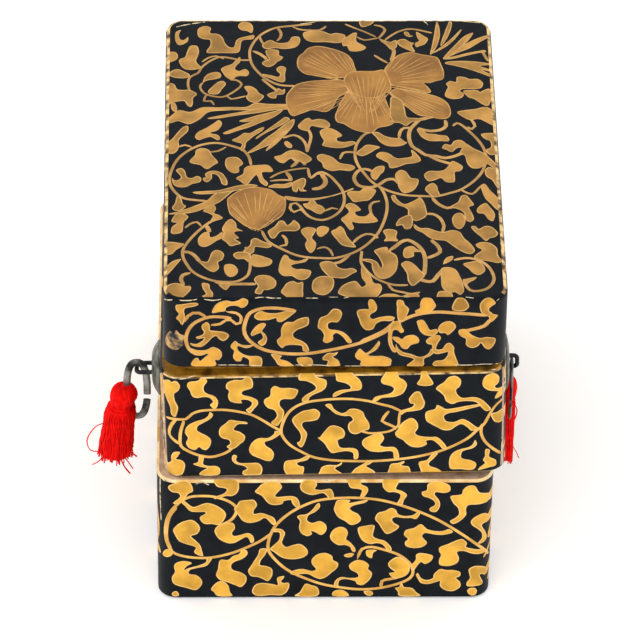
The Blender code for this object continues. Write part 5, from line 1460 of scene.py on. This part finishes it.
def add_tube(places, faces, path, radius, taper=1.0):
    """Closed tube along a path, with its end radius as a share of the first."""
    first = len(places)
    last = len(path) - 1
    for i, point in enumerate(path):
        tangent = (path[min(i + 1, last)] - path[max(i - 1, 0)]).normalized()
        side = tangent.cross(TUBE_REFERENCE).normalized()
        other = tangent.cross(side)
        size = radius * (1 - (1 - taper) * i / last)
        for k in range(STRAND_SIDES):
            angle = 2 * math.pi * k / STRAND_SIDES
            places.append(point + (side * math.cos(angle) + other * math.sin(angle)) * size)
    for i in range(last):
        for k in range(STRAND_SIDES):
            j = (k + 1) % STRAND_SIDES
            row = first + i * STRAND_SIDES
            faces.append((row + k, row + j, row + STRAND_SIDES + j, row + STRAND_SIDES + k))
    faces.append(tuple(first + k for k in reversed(range(STRAND_SIDES))))
    faces.append(tuple(first + last * STRAND_SIDES + k for k in range(STRAND_SIDES)))


def add_core(places, faces, size):
    """Closed body under the threads."""
    for i in range(CORE_STEPS + 1):
        along = CORE_START + CORE_LENGTH * i / CORE_STEPS
        radius = tassel_radius(size, along) * CORE_SHARE
        for k in range(CORE_SIDES):
            places.append(around_spine(size, along, 2 * math.pi * k / CORE_SIDES, radius))
    for i in range(CORE_STEPS):
        for k in range(CORE_SIDES):
            j = (k + 1) % CORE_SIDES
            row = i * CORE_SIDES
            faces.append((row + k, row + CORE_SIDES + k, row + CORE_SIDES + j, row + j))
    faces.append(tuple(range(CORE_SIDES)))
    faces.append(tuple(reversed(range(CORE_STEPS * CORE_SIDES, (CORE_STEPS + 1) * CORE_SIDES))))


def strand_path(size, angle, chance):
    """One thread from the top to the hem, slightly twisted and wavy."""
    angle += chance.uniform(-STRAND_SHIFT, STRAND_SHIFT)
    twist = chance.uniform(-TWIST_SPREAD, TWIST_SPREAD) + TWIST
    end = chance.uniform(SHORTEST_STRAND, 1.0)
    wave = chance.uniform(0.0, 2 * math.pi)
    path = []
    for step in range(STRAND_STEPS + 1):
        along = STRAND_START + (end - STRAND_START) * step / STRAND_STEPS
        loose = 1 + WAVE_DEPTH * math.sin(along * WAVE_TURNS + wave) * min(1.0, along * WAVE_GROWTH)
        radius = tassel_radius(size, along) * STRAND_SHARE * loose
        path.append(around_spine(size, along, angle + twist * along, radius))
    return path


def binding_path(size, along, turns, strand_radius):
    """Thread wound round the neck."""
    path = []
    last = turns * BINDING_STEPS
    for step in range(last + 1):
        spot = along + BINDING_DROP * step / last
        radius = tassel_radius(size, spot) + strand_radius * BINDING_LIFT
        path.append(around_spine(size, spot, 2 * math.pi * step / BINDING_STEPS, radius))
    return path


def build_tassel(name, node, size, material, loose_threads):
    chance = random.Random(size["seed"])
    strands, strand_radius = size["strands"], size["strand_radius"]
    places, faces = [], []
    add_core(places, faces, size)
    for number in range(strands):
        path = strand_path(size, 2 * math.pi * number / strands, chance)
        add_tube(places, faces, path, strand_radius * chance.uniform(*STRAND_SPREAD), STRAND_TAPER)
    for along, turns in BINDINGS:
        add_tube(places, faces, binding_path(size, along, turns, strand_radius), strand_radius)
    for line, radius in loose_threads:
        path = [Vector(point) for point in smooth_open(line, LOOSE_STEP)]
        add_tube(places, faces, path, radius)
    mesh = bpy.data.meshes.new(name)
    mesh.from_pydata([place * MM for place in places], [], faces)
    mesh.materials.append(material)
    mesh.polygons.foreach_set("use_smooth", [True] * len(faces))
    mesh.update()
    piece = link_piece(name, mesh)
    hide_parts(node)
    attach(piece, "root")


def dress_metal():
    """Tarnished finishes on the fittings that stay as the part has them; the eye is also darkened as
    painted shade.
    """
    for word, values in METAL_FINISHES.items():
        material = finish("fitting_" + word, **values)
        for name, node in NODES.items():
            if word in name:
                node.data.materials.clear()
                node.data.materials.append(material)


make_camera()
make_floor()
make_lights()
bpy.context.scene.view_settings.view_transform = "Standard"
wood_finishes = [finish(kind, **FINISHES[kind]) for kind in KINDS]
lid_finishes = list(wood_finishes)
for kind, values in LID_FINISHES.items():
    lid_finishes[KIND[kind]] = finish("lid_" + kind, **values)
for make_piece, node_name in ((lower_tier, "lower_tier"), (upper_tier, "upper_tier"), (lid, "lid")):
    wood_piece = make_piece(lid_finishes if node_name == "lid" else wood_finishes)
    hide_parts(node_name)
    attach(wood_piece, "root")
silk = finish("red_silk_thread", **SILK_FINISH)
build_tassel("left_tassel_silk", "left_tassel", LEFT_TASSEL, silk, LEFT_LOOSE)
build_tassel("right_tassel_silk", "right_tassel", RIGHT_TASSEL, silk, RIGHT_LOOSE)
dress_metal()
